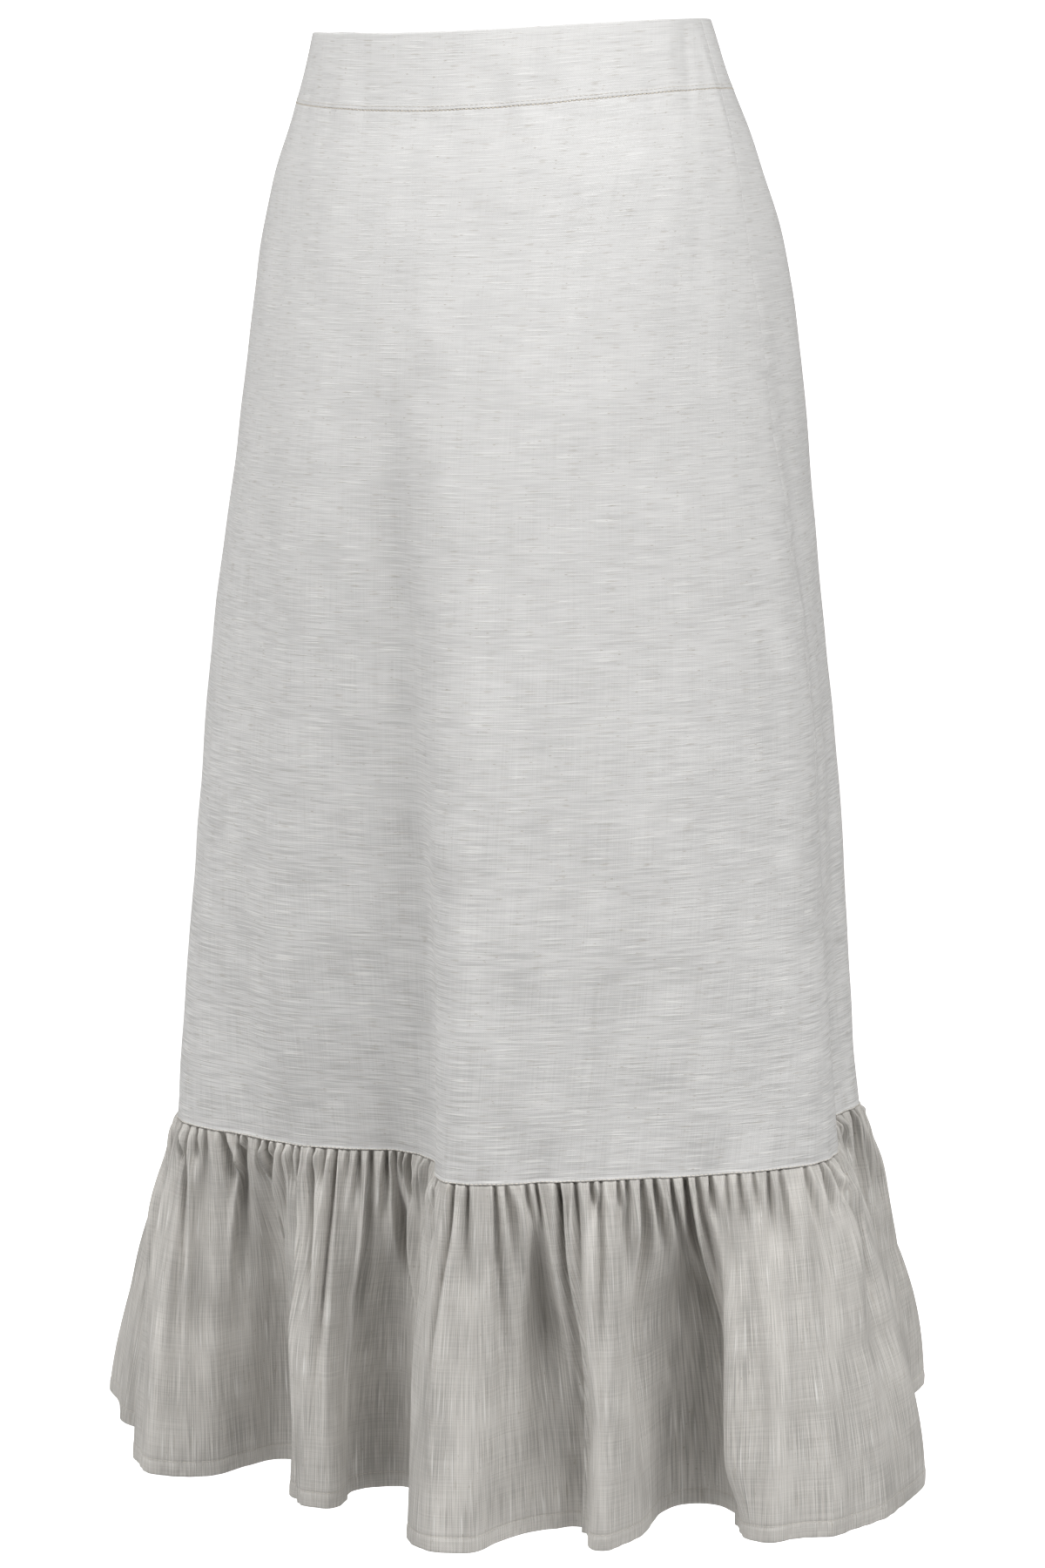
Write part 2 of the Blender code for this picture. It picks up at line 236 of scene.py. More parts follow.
# Dents of the ruffle, each a crosswise crease: its place, its half width round the skirt, how
# fast it dies away up and down, and its height, which is below zero for a fold that goes in
Dent = namedtuple("Dent", "share below half_width reach height")
DENTS = (
    Dent(0.226, 0.109, 0.030, 0.020, -0.0042),
    Dent(-0.108, 0.028, 0.014, 0.012, -0.0030),
    Dent(0.226, 0.027, 0.010, 0.008, -0.0022),
    Dent(-0.128, 0.118, 0.022, 0.024, -0.0030),
    Dent(-0.044, 0.090, 0.020, 0.018, -0.0026),
    Dent(0.012, 0.060, 0.024, 0.022, -0.0020),
    Dent(0.108, 0.150, 0.026, 0.024, -0.0024),
    Dent(0.182, 0.072, 0.022, 0.024, -0.0026),
    Dent(0.338, 0.110, 0.026, 0.022, -0.0030),
    Dent(0.421, 0.070, 0.022, 0.018, -0.0028),
    Dent(0.497, 0.130, 0.026, 0.024, -0.0030),
    Dent(0.590, 0.085, 0.022, 0.020, -0.0026),
    Dent(0.660, 0.120, 0.026, 0.022, -0.0030),
)


# ---------------------------------------------------------------- settings


class SkirtClothSettings(bpy.types.PropertyGroup):
    """Sizes of the cloth's fine form."""

    gathers: bpy.props.IntProperty(
        name="Gathers", description="Places for gathers all round the ruffle's seam", default=136
    )
    gather_depth: bpy.props.FloatProperty(
        name="Gather depth",
        description="Usual depth of a gather that isn't placed by hand",
        default=0.0053,
        unit="LENGTH",
    )
    gather_length: bpy.props.FloatProperty(
        name="Gather length",
        description="About how far a short gather runs; a long one goes some four times as far",
        default=0.030,
        unit="LENGTH",
    )
    softness: bpy.props.FloatProperty(
        name="Softness",
        description="Height of the slow unevenness of the hanging panels",
        default=0.0009,
        unit="LENGTH",
    )
    panel_columns: bpy.props.IntProperty(
        name="Panel columns", description="Columns across one panel", default=330
    )
    ruffle_columns: bpy.props.IntProperty(
        name="Ruffle columns", description="Columns across half of the ruffle", default=1130
    )


class SkirtColourSettings(bpy.types.PropertyGroup):
    """Colours of the linen and its threads."""

    linen: bpy.props.FloatVectorProperty(
        name="Linen", description="Colour of the body's cloth", subtype="COLOR",
        default=(0.622, 0.620, 0.615),
    )
    # Painted shade: the ruffle is the body's linen, given a darker and warmer colour for the shade
    # and warm shadows of its gathers
    ruffle: bpy.props.FloatVectorProperty(
        name="Ruffle", description="Colour of the ruffle's cloth", subtype="COLOR",
        default=(0.560, 0.543, 0.515),
    )
    bright_slub: bpy.props.FloatVectorProperty(
        name="Bright slub", description="Colour of the thick pale threads", subtype="COLOR",
        default=(0.820, 0.815, 0.795),
    )
    dark_slub: bpy.props.FloatVectorProperty(
        name="Dark slub", description="Colour of the unbleached threads", subtype="COLOR",
        default=(0.340, 0.310, 0.265),
    )
    cream_thread: bpy.props.FloatVectorProperty(
        name="Cream thread", description="Colour of the edge stitching", subtype="COLOR",
        default=(0.630, 0.600, 0.545),
    )
    beige_thread: bpy.props.FloatVectorProperty(
        name="Beige thread", description="Colour of the thread in the seams", subtype="COLOR",
        default=(0.560, 0.510, 0.430),
    )


class SkirtStageSettings(bpy.types.PropertyGroup):
    """The studio and the camera."""

    azimuth: bpy.props.FloatProperty(
        name="Azimuth", description="Camera's turn to the wearer's left", subtype="ANGLE",
        default=math.radians(25.0),
    )
    pitch: bpy.props.FloatProperty(
        name="Pitch", description="Camera's tilt below level", subtype="ANGLE",
        default=math.radians(9.715),
    )
    distance: bpy.props.FloatProperty(
        name="Distance", description="Camera's distance from the skirt's axis", default=2.6,
        unit="LENGTH",
    )
    height: bpy.props.FloatProperty(
        name="Height", description="Camera's height above the middle of the waist",
        default=0.01225, unit="LENGTH",
    )
    sideways: bpy.props.FloatProperty(
        name="Sideways", description="Camera's shift to its right", default=0.0036,
        unit="LENGTH",
    )
    lens: bpy.props.FloatProperty(
        name="Lens", description="Focal length in millimetres", default=100.0
    )
    floor: bpy.props.FloatProperty(
        name="Floor", description="Depth of the floor below the waist", default=1.08,
        unit="LENGTH",
    )


def cloth_settings():
    return bpy.context.scene.skirt_cloth


def colour_settings():
    return bpy.context.scene.skirt_colours


def stage_settings():
    return bpy.context.scene.skirt_stage


# ---------------------------------------------------------------- shader expressions


# Places of the colour sockets of a Mix node, which has a set of sockets for each kind of value
MIX_FIRST_COLOUR = 6
MIX_SECOND_COLOUR = 7
MIX_COLOUR_OUTPUT = 2


class Shade:
    """A shader socket that ordinary arithmetic works on."""

    def __init__(self, graph, socket):
        self.graph = graph
        self.socket = socket

    def output(self, place):
        """Another output of the same node."""
        return Shade(self.graph, self.socket.node.outputs[place])

    def __add__(self, other):
        return self.graph.maths("ADD", self, other)

    def __sub__(self, other):
        return self.graph.maths("SUBTRACT", self, other)

    def __rsub__(self, other):
        return self.graph.maths("SUBTRACT", other, self)

    def __mul__(self, other):
        return self.graph.maths("MULTIPLY", self, other)

    def __truediv__(self, other):
        return self.graph.maths("DIVIDE", self, other)

    __radd__ = __add__
    __rmul__ = __mul__

    def wave(self, length):
        """A sine wave of the value, with this wavelength."""
        return self.graph.maths("SINE", self * (2 * math.pi / length))

    def rising(self, low, high):
        """A smooth step from 0 at low to 1 at high."""
        values = {"Value": self, "From Min": low, "From Max": high}
        return self.graph.add("ShaderNodeMapRange", values, interpolation_type="SMOOTHSTEP")


class Graph:
    """The shader of one material, built from expressions."""

    def __init__(self, name):
        self.material = bpy.data.materials.new(name)
        self.material.use_nodes = True
        self.tree = self.material.node_tree
        self.surface = self.tree.nodes["Principled BSDF"]

    def put(self, socket, value):
        if isinstance(value, Shade):
            self.tree.links.new(value.socket, socket)
        else:
            socket.default_value = value

    def add(self, kind, values, output=0, **settings):
        """A new node: its settings first, then the values or links of its sockets."""
        node = self.tree.nodes.new(kind)
        for name, setting in settings.items():
            setattr(node, name, setting)
        for place, value in values.items():
            self.put(node.inputs[place], value)
        return Shade(self, node.outputs[output])

    def maths(self, operation, first, second=0.0):
        return self.add("ShaderNodeMath", {0: first, 1: second}, operation=operation)

    def mix(self, share, first, second):
        """One colour where share is 0 and the other where it is 1."""
        values = {0: share, MIX_FIRST_COLOUR: first, MIX_SECOND_COLOUR: second}
        return self.add("ShaderNodeMix", values, output=MIX_COLOUR_OUTPUT, data_type="RGBA")

    def streaks(self, along, across, length, width, start, detail=1.0):
        """Noise from 0 to 1 whose marks have this length and width, in metres."""
        where = self.add(
            "ShaderNodeCombineXYZ", {0: along / length + start, 1: across / width + start}
        )
        values = {"Vector": where, "Scale": 1.0, "Detail": detail, "Roughness": 0.5}
        return self.add("ShaderNodeTexNoise", values, noise_dimensions="2D")

    def finish(self, **values):
        """Set the surface's own sockets, by name with _ for a space."""
        for name, value in values.items():
            self.put(self.surface.inputs[name.replace("_", " ")], value)
        return self.material


# How a cloth's threads vary: whether the thick ones run down it, how long a thick stretch is, the
# level of the noise from which a thread is thick, the part that slow patches have in the tone,
# the depth of the dark threads, and the share of all this that is left near the waist
Linen = namedtuple("Linen", "name slubs_run_down slub thick_from patchy contrast quiet_top")
BODY_LINEN = Linen("linen_across", False, 0.024, 0.67, 0.14, 0.25, 0.42)
RUFFLE_LINEN = Linen("linen_down", True, 0.034, 0.71, 0.28, 0.33, 1.0)

# Sizes of the linen's marks; the last two are lengths in slubs
THREAD_PITCH = 0.00055
WEAVE_HEIGHT = 0.00035
WARP_LENGTH = 0.045
THICK_WIDTH = 0.00070
FINE_WIDTH = 0.0017
BROWN_WIDTH = 0.0008
FLECK_LENGTH = 0.0035
FLECK_WIDTH = 0.0009
PATCH_LENGTH = 0.060
PATCH_WIDTH = 0.035
FINE_SLUBS = 1.5
BROWN_SLUBS = 0.5

# Parts of the linen's tone, and the levels of it and of the marks that show. The slow patches
# take their part from that of the fine streaks.
THREAD_PART = 0.48
WARP_PART = 0.16
FINE_PART = 0.36
DARK_LEVELS = (0.34, 0.57)
PALE_LEVELS = (0.52, 0.72)
BROWN_LEVELS = (0.72, 0.86)
FLECK_LEVELS = (0.84, 0.91)
THICK_SPAN = 0.14
PALE_SHARE = 0.6
THICK_STRENGTH = 0.55
BROWN_STRENGTH = 0.36
FLECK_STRENGTH = 0.6

# Heights on the cut, below the waistband's top edge, between which the linen grows lively
LIVELY_FROM = -0.05
LIVELY_BELOW = -0.70

# Relief of the weave and its threads, as shares of the weave's height
WEAVE_RISE = 0.25
THREAD_RISE = 0.5
WARP_RISE = 0.3
THICK_RISE = 0.8
BUMP_STRENGTH = 0.35


def colour_socket(colour):
    return (*colour, 1.0)


def linen_material(linen, colour):
    """Plain-woven linen with uneven threads; its thick threads run across or down the piece."""
    graph = Graph(linen.name)
    cut = graph.add("ShaderNodeUVMap", {}, uv_map="cut")
    across_cut = graph.add("ShaderNodeSeparateXYZ", {0: cut})
    down_cut = across_cut.output(1)
    along, across = (down_cut, across_cut) if linen.slubs_run_down else (across_cut, down_cut)

    slub = linen.slub
    threads = graph.streaks(along, across, slub, THREAD_PITCH, start=3.1)
    warps = graph.streaks(across, along, WARP_LENGTH, THREAD_PITCH, start=7.7)
    thick = graph.streaks(along, across, slub, THICK_WIDTH, start=11.3, detail=0.0)
    fine = graph.streaks(along, across, FINE_SLUBS * slub, FINE_WIDTH, start=23.9)
    brown = graph.streaks(along, across, BROWN_SLUBS * slub, BROWN_WIDTH, start=41.7, detail=0.0)
    fleck = graph.streaks(along, across, FLECK_LENGTH, FLECK_WIDTH, start=57.3, detail=0.0)
    patches = graph.streaks(along, across, PATCH_LENGTH, PATCH_WIDTH, start=71.9, detail=2.0)

    colours = colour_settings()
    plain = colour_socket(colour)
    pale = colour_socket([(1.0 + PALE_SHARE * linen.contrast) * c for c in colour])
    deep = colour_socket([(1.0 - linen.contrast) * c for c in colour])
    tone = threads * THREAD_PART + warps * WARP_PART
    tone = tone + fine * (FINE_PART - linen.patchy) + patches * linen.patchy
    thick_thread = thick.rising(linen.thick_from, linen.thick_from + THICK_SPAN)
    unbleached = brown.rising(*BROWN_LEVELS) * BROWN_STRENGTH
    speck = fleck.rising(*FLECK_LEVELS) * FLECK_STRENGTH
    cloth = graph.mix(tone.rising(*DARK_LEVELS), deep, plain)
    cloth = graph.mix(tone.rising(*PALE_LEVELS), cloth, pale)
    cloth = graph.mix(thick_thread * THICK_STRENGTH, cloth, colour_socket(colours.bright_slub))
    lively = down_cut.rising(LIVELY_FROM, LIVELY_BELOW) * (1.0 - linen.quiet_top)
    cloth = graph.mix(lively + linen.quiet_top, plain, cloth)
    cloth = graph.mix(unbleached, cloth, colour_socket(colours.dark_slub))
    cloth = graph.mix(speck, cloth, colour_socket(colours.dark_slub))

    weave = along.wave(2 * THREAD_PITCH) * across.wave(2 * THREAD_PITCH)
    height = weave * WEAVE_RISE + threads * THREAD_RISE + warps * WARP_RISE
    bump = {
        "Strength": BUMP_STRENGTH,
        "Distance": WEAVE_HEIGHT,
        "Height": height + thick_thread * THICK_RISE,
    }
    return graph.finish(
        Base_Color=cloth,
        Roughness=0.90 - 0.10 * thick_thread,
        Normal=graph.add("ShaderNodeBump", bump),
        Metallic=0.0,
        Specular_IOR_Level=0.25,
        Sheen_Weight=0.12,
        Sheen_Roughness=0.45,
        Sheen_Tint=(0.95, 0.93, 0.90, 1.0),
    )


def thread_material(name, colour):
    """Matt sewing thread of one colour."""
    return Graph(name).finish(
        Base_Color=colour_socket(colour),
        Roughness=0.7,
        Specular_IOR_Level=0.3,
        Sheen_Weight=0.1,
    )


# ---------------------------------------------------------------- the skirt's form


def smooth_through(places, values, wanted):
    """Values of a smooth curve through the given ones (Catmull-Rom, uneven steps)."""
    steps = np.diff(places)[:, None]
    slopes = np.diff(values, axis=0) / steps
    inner = (slopes[:-1] * steps[1:] + slopes[1:] * steps[:-1]) / (steps[1:] + steps[:-1])
    tangents = np.vstack([slopes[:1], inner, slopes[-1:]])
    first = np.clip(np.searchsorted(places, wanted, side="right") - 1, 0, len(places) - 2)
    step = steps[first]
    part = np.clip((wanted - places[first])[:, None] / step, 0.0, 1.0)
    start = (2 * part**3 - 3 * part**2 + 1) * values[first]
    start_pull = (part**3 - 2 * part**2 + part) * step * tangents[first]
    end = (3 * part**2 - 2 * part**3) * values[first + 1]
    end_pull = (part**3 - part**2) * step * tangents[first + 1]
    return start + start_pull + end + end_pull


def ellipse_ring(share, half_width, half_depth, seam_deg):
    """Points of one ellipse at shares of its length, with the side seams at their angle."""
    turn = np.linspace(-math.pi, math.pi, ELLIPSE_STEPS + 1)
    across = half_width * np.sin(turn)
    back = -half_depth * np.cos(turn)
    length = np.concatenate([[0.0], np.cumsum(np.hypot(np.diff(across), np.diff(back)))])
    seam_turn = math.radians(seam_deg)
    right_seam, left_seam = np.interp([-seam_turn, seam_turn], turn, length)
    shares = (-0.5, -SIDE_SEAM, SIDE_SEAM, 0.5)
    lengths = (0.0, right_seam, left_seam, length[-1])
    place = np.interp(np.interp(share, shares, lengths), length, turn)
    return np.column_stack([half_width * np.sin(place), -half_depth * np.cos(place)])


def fold_ring(folds, share):
    """The wavy ring, seen from above, that the ridges and troughs of the folds give."""
    places = []
    points = []
    for fold in folds:
        ridge = (fold.ridge, fold.ridge_deg, fold.ridge_reach)
        trough = (fold.trough, fold.trough_deg, fold.trough_reach)
        for place, degrees, reach in (ridge, trough):
            turn = math.radians(degrees)
            places.append(place)
            points.append((reach * math.sin(turn), FOLD_CENTRE_BACK - reach * math.cos(turn)))
    places = np.array(places)
    points = np.array(points)
    around = np.concatenate([places - 1.0, places, places + 1.0])
    return smooth_through(around, np.vstack([points, points, points]), share)


def whole_turn(share):
    """The same places with every share brought between -0.5 and 0.5."""
    return (np.asarray(share, float) + 0.5) % 1.0 - 0.5


def length_round(share, place, girth):
    """How far round the skirt each share lies from one place, the short way."""
    return whole_turn(share - place) * girth


def body_points(share, drop):
    """The outer face of the waistband and panels at one drop."""
    share = whole_turn(share)
    rows = np.array(SECTIONS)
    sizes = smooth_through(rows[:, 0], rows[:, 1:], np.array([drop]))[0]
    half_width, half_depth, shift_left, shift_back, seam_deg, rise_left, rise_back, dip = sizes
    plan = ellipse_ring(share, half_width, half_depth, seam_deg) + (shift_left, shift_back)
    hem = SECTIONS[-1]
    plain = ellipse_ring(share, hem.half_width, hem.half_depth, hem.seam_deg)
    plain = plain + (hem.shift_left, hem.shift_back)
    grown = max(0.0, (drop - PANEL_FOLD_START) / (SEAM_DROP - PANEL_FOLD_START))
    plan = plan + (fold_ring(PANEL_FOLDS, share) - plain) * grown**PANEL_FOLD_GROWTH
    forward = np.cos(2 * math.pi * share) ** 2
    height = WAISTBAND_DEPTH / 2 - drop - dip * forward
    height = height + rise_left * plan[:, 0] + rise_back * plan[:, 1]
    return np.column_stack([plan, height])


def ruffle_points(share, below):
    """The ruffle's face without its gathers, at one distance below its seam."""
    if below <= 0.0:
        return body_points(share, SEAM_DROP + below)
    share = whole_turn(share)
    seam = body_points(share, SEAM_DROP)
    flare = 1.0 - (1.0 - min(1.0, below / RUFFLE_LENGTH)) ** RUFFLE_FLARE
    out = (fold_ring(RUFFLE_FOLDS, share) - seam[:, :2]) * flare
    fallen = below**2 - (out**2).sum(axis=1)
    height = seam[:, 2] - np.sqrt(np.maximum(fallen, 0.0))
    return np.column_stack([seam[:, :2] + out, height])


def grid_of(surface, shares, places):
    """Points of a surface, a row for each place; shares is one row or a row for each place."""
    shares = np.broadcast_to(shares, (len(places), np.shape(shares)[-1]))
    return np.array([surface(row, place) for row, place in zip(shares, places)])


def facing_out(grid):
    """Unit normals of a grid of points, pointing away from the skirt's axis."""
    across = np.gradient(grid, axis=1)
    down = np.gradient(grid, axis=0)
    normals = np.cross(down, across)
    return normals / np.linalg.norm(normals, axis=2, keepdims=True)


def ring_length(surface, place):
    """The length round a surface at one place."""
    points = surface(np.linspace(-0.5, 0.5, 721), place)
    return np.linalg.norm(np.diff(points, axis=0), axis=1).sum()


def girths(surface, places):
    """The skirt's length round at each place, as a column."""
    some = np.linspace(places[0], places[-1], 9)
    return np.interp(places, some, [ring_length(surface, place) for place in some])[:, None]


def places_between(first, last, step):
    """Even places between two ends, with the closer ones beside each end."""
    count = int(round((last - first) / step)) + 1
    near = np.array(CLOSE)
    even = np.linspace(first, last, count)
    beside = max(CLOSE)
    even = even[(even > first + beside) & (even < last - beside)]
    return np.concatenate([[first], first + near, even, (last - near)[::-1], [last]])


# Slow uneven waves: their size round the skirt and down it, the skirt's length round that they
# are fitted to, and the seed of their random draw
Waves = namedtuple("Waves", "size_round size_down girth seed")
NOISE_WAVES = 14
NOISE_REACH = (0.6, 1.4)


def soft_noise(share, down, kind):
    """Slow uneven waves of about unit height that meet themselves once round."""
    chance = np.random.default_rng(kind.seed)
    total = np.zeros(np.broadcast(share, down).shape)
    for _ in range(NOISE_WAVES):
        turn = chance.uniform(0, math.pi)
        reach = chance.uniform(*NOISE_REACH)
        round_waves = round(kind.girth / kind.size_round * reach * math.cos(turn))
        down_waves = reach * math.sin(turn) / kind.size_down
        start = chance.uniform(0, 2 * math.pi)
        total += np.cos(2 * math.pi * (round_waves * share + down_waves * down) + start)
    return total / math.sqrt(NOISE_WAVES / 2)


def ease(value, low, high):
    """A smooth step from 0 at low to 1 at high."""
    part = np.clip((value - low) / (high - low), 0.0, 1.0)
    return part * part * (3 - 2 * part)


def lowest_near(heights):
    """The lowest height within one row and two columns of each place."""
    rows, columns = heights.shape
    padded = np.pad(heights, ((1, 1), (2, 2)), mode="edge")
    views = [padded[r : r + rows, c : c + columns] for r in range(3) for c in range(5)]
    return np.min(views, axis=0)


def round_edge(distance, radius):
    """How far a face turns in beside an edge, for a round edge of this radius."""
    inside = np.clip(radius - distance, 0.0, radius)
    return radius - np.sqrt(radius**2 - inside**2)


# Where a crease swells and where it fades, as shares of its length, and how much of it fades
CREASE_SWELLS = (0.0, 0.35)
CREASE_FADES = (0.85, 1.1)
CREASE_LOSS = 0.8


def crease_relief(creases, share, drop, girth):
    """Height that soft creases add, at shares and drops of a panel."""
    total = np.zeros(np.broadcast(share, drop).shape)
    for crease in creases:
        part = (drop - crease.drop) / (crease.end_drop - crease.drop)
        place = crease.share + (crease.end_share - crease.share) * part
        apart = length_round(share, place, girth)
        swell = ease(part, *CREASE_SWELLS) * (1.0 - CREASE_LOSS * ease(part, *CREASE_FADES))
        total += crease.height * swell * np.exp(-((apart / crease.half_width) ** 2))
    return total


# A gather is pinched at the seam, widens as far as its end, and has a ridge at each side of its
# trough. The end is in reaches, the ridges' place in half widths of the trough, and their spread
# is the square of their own width in half widths.
PINCH = 0.20
PINCH_REACH = 0.030
LEAN_SHARPNESS = 2.0
GATHER_END = 1.5
FADE_POWER = 3.2
RIDGE_HEIGHT = 0.40
RIDGE_PLACE = 1.9
RIDGE_SPREAD = 1.3


def gather_relief(gathers, share, below, girth):
    """Height of the ruffle's gathers: narrow troughs with a soft ridge at each side."""
    total = np.zeros(np.broadcast(share, below).shape)
    for gather in gathers:
        part = np.clip(below / gather.reach, 0.0, GATHER_END)
        place = gather.share + (gather.end_share - gather.share) * ease(part, 0.0, 1.0)
        apart = length_round(share, place, girth)
        width = gather.half_width + (gather.end_half_width - gather.half_width) * part
        width = width * ((1.0 - PINCH) + PINCH * ease(below, 0.0, PINCH_REACH))
        width = width * (1.0 + gather.lean * np.tanh(LEAN_SHARPNESS * apart / width))
        fade = np.exp(-(part**FADE_POWER))
        near = apart / width
        trough = np.exp(-(near**2))
        ridges = np.exp(-((np.abs(near) - RIDGE_PLACE) ** 2) / RIDGE_SPREAD)
        total += gather.depth * fade * (RIDGE_HEIGHT * ridges - trough)
    return total


# A dent's crisp line slopes down towards the wearer's left, and is as round as this
DENT_SLOPE = 0.12
DENT_ROUNDNESS = 0.0006


def dent_relief(dents, share, below, girth):
    """Height of short crosswise creases, each with a crisp line across its middle."""
    total = np.zeros(np.broadcast(share, below).shape)
    for dent in dents:
        apart = length_round(share, dent.share, girth)
        line = dent.below + DENT_SLOPE * apart
        away = np.sqrt((below - line) ** 2 + DENT_ROUNDNESS**2)
        total += dent.height * np.exp(-((apart / dent.half_width) ** 2) - away / dent.reach)
    return total


# Gathers that are drawn at random, every other one long. Shifts are shares of the way to the
# next gather, reaches are shares of the gather length and sizes of the gather depth.
SEAM_SEED = 20
SEAM_SHIFTS = (-0.30, 0.30)
SHORT_REACHES = (0.6, 1.3)
LONG_REACHES = (2.2, 5.2)
SHORT_DRIFT = 0.0014
LONG_DRIFT = 0.0030
SEAM_SIZES = (0.70, 1.20)
SEAM_WIDTHS = (0.0012, 0.0019)
SHORT_WIDENING = 0.0020
LONG_WIDENINGS = (0.0035, 0.0060)
SEAM_LEANS = (-0.5, 0.5)


def seam_gathers(count, depth, length):
    """Uneven gathers all round the seam, where no listed gather is placed."""
    chance = np.random.default_rng(SEAM_SEED)
    placed = np.array([gather.share for gather in PLACED_GATHERS])
    gathers = []
    for number in range(count):
        share = (number + chance.uniform(*SEAM_SHIFTS)) / count - SIDE_SEAM
        long = number % 2
        reach = length * chance.uniform(*(LONG_REACHES if long else SHORT_REACHES))
        drift = chance.normal(0.0, LONG_DRIFT if long else SHORT_DRIFT)
        size = depth * chance.uniform(*SEAM_SIZES)
        width = chance.uniform(*SEAM_WIDTHS)
        end_width = width + (chance.uniform(*LONG_WIDENINGS) if long else SHORT_WIDENING)
        lean = chance.uniform(*SEAM_LEANS)
        if np.abs(placed - share).min() > 0.5 / count:
            gathers.append(Gather(share, share + drift, reach, width, end_width, size, lean))
    return gathers


# ---------------------------------------------------------------- meshes


def every_other(count):
    """Every other place in a row, and always the last one."""
    places = list(range(0, count, 2))
    if places[-1] != count - 1:
        places.append(count - 1)
    return places


def grid_faces(index):
    """Quads between the neighbouring points of a grid of point numbers."""
    here, right = index[:-1, :-1], index[:-1, 1:]
    below, both = index[1:, :-1], index[1:, 1:]
    return np.stack([here, below, both, right], axis=-1).reshape(-1, 4)


def rim_faces(fine, coarse, kept):
    """Faces along one edge, from its fine points to the coarse ones that lie behind them."""
    faces = []
    for number in range(len(kept) - 1):
        start, end = kept[number], kept[number + 1]
        across = list(fine[start : end + 1])
        faces.append([*across[::-1], coarse[number], coarse[number + 1]])
    return faces


def finished_object(name, mesh, material):
    """An object in the scene with this mesh, smooth and of one material."""
    mesh.shade_smooth()
    mesh.materials.append(material)
    obj = bpy.data.objects.new(name, mesh)
    bpy.context.scene.collection.objects.link(obj)
    return obj


def cloth_object(name, outer, inner, cut, material):
    """A closed cloth between two grids of points, with the places on its cut as its UVs.

    The inner face shows little, so it keeps only every other row and column.
    """
    rows, columns = outer.shape[:2]
    kept_rows, kept_columns = every_other(rows), every_other(columns)
    kept = np.ix_(kept_rows, kept_columns)
    fine = np.arange(rows * columns).reshape(rows, columns)
    coarse = fine.size + np.arange(len(kept_rows) * len(kept_columns))
    coarse = coarse.reshape(len(kept_rows), len(kept_columns))
    rims = rim_faces(fine[-1], coarse[-1], kept_columns)
    rims += rim_faces(fine[:, 0], coarse[:, 0], kept_rows)
    rims += [face[::-1] for face in rim_faces(fine[0], coarse[0], kept_columns)]
    rims += [face[::-1] for face in rim_faces(fine[:, -1], coarse[:, -1], kept_rows)]
    faces = [*grid_faces(fine).tolist(), *grid_faces(coarse)[:, ::-1].tolist(), *rims]
    corners = np.concatenate([np.array(face) for face in faces]).astype(np.int32)
    sizes = np.array([len(face) for face in faces], dtype=np.int32)
    points = np.vstack([outer.reshape(-1, 3), inner[kept].reshape(-1, 3)])
    places = np.vstack([cut.reshape(-1, 2), cut[kept].reshape(-1, 2)])
    mesh = bpy.data.meshes.new(name)
    mesh.vertices.add(len(points))
    mesh.vertices.foreach_set("co", points.ravel())
    mesh.loops.add(len(corners))
    mesh.loops.foreach_set("vertex_index", corners)
    mesh.polygons.add(len(faces))
    mesh.polygons.foreach_set("loop_start", np.cumsum(sizes) - sizes)
    mesh.polygons.foreach_set("loop_total", sizes)
    layer = mesh.uv_layers.new(name="cut")
    layer.data.foreach_set("uv", places[corners].ravel())
    mesh.update(calc_edges=True)
    if mesh.validate():
        raise RuntimeError(f"{name} has broken faces")
    return finished_object(name, mesh, material)


def add_piece(obj, slot, *nodes):
    """Put a piece on the skirt's body, in the place of its nodes; its slot is not used."""
    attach(obj, BODY)
    if nodes:
        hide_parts(*nodes)


# Rings of one stitch from tip to tip: their place along it as a share of the stitch's length,
# and their size and how far they stand out as shares of the thread's radius
StitchRing = namedtuple("StitchRing", "along swell lift")
STITCH_RINGS = (
    StitchRing(-0.40, 0.15, -0.5),
    StitchRing(-0.33, 0.75, 0.1),
    StitchRing(0.00, 1.00, 0.35),
    StitchRing(0.33, 0.75, 0.1),
    StitchRing(0.40, 0.15, -0.5),
)
STITCH_TIP = STITCH_RINGS[-1].along
THREAD_SIDES = 6


def on_line(values, reach, place):
    """A line's point or normal at one length along it."""
    return np.array([np.interp(place, reach, values[:, axis]) for axis in range(3)])


def stitch_points(middle, forward, up, length, radius):
    """Points of the rings of one stitch."""
    side = np.cross(forward, up)
    side = side / np.linalg.norm(side)
    points = []
    for ring in STITCH_RINGS:
        centre = middle + forward * ring.along * length + up * ring.lift * radius
        for turn in np.linspace(0, 2 * math.pi, THREAD_SIDES, endpoint=False):
            offset = side * math.cos(turn) + up * math.sin(turn)
            points.append(centre + offset * radius * ring.swell)
    return points


def stitch_faces(first):
    """Faces of one stitch, whose points are numbered from the first on."""
    rings = np.arange(len(STITCH_RINGS) * THREAD_SIDES).reshape(-1, THREAD_SIDES) + first
    faces = []
    for low, high in zip(rings[:-1], rings[1:]):
        after_low, after_high = np.roll(low, -1), np.roll(high, -1)
        faces += np.stack([low, after_low, after_high, high], axis=-1).tolist()
    return [*faces, rings[0][::-1].tolist(), rings[-1].tolist()]


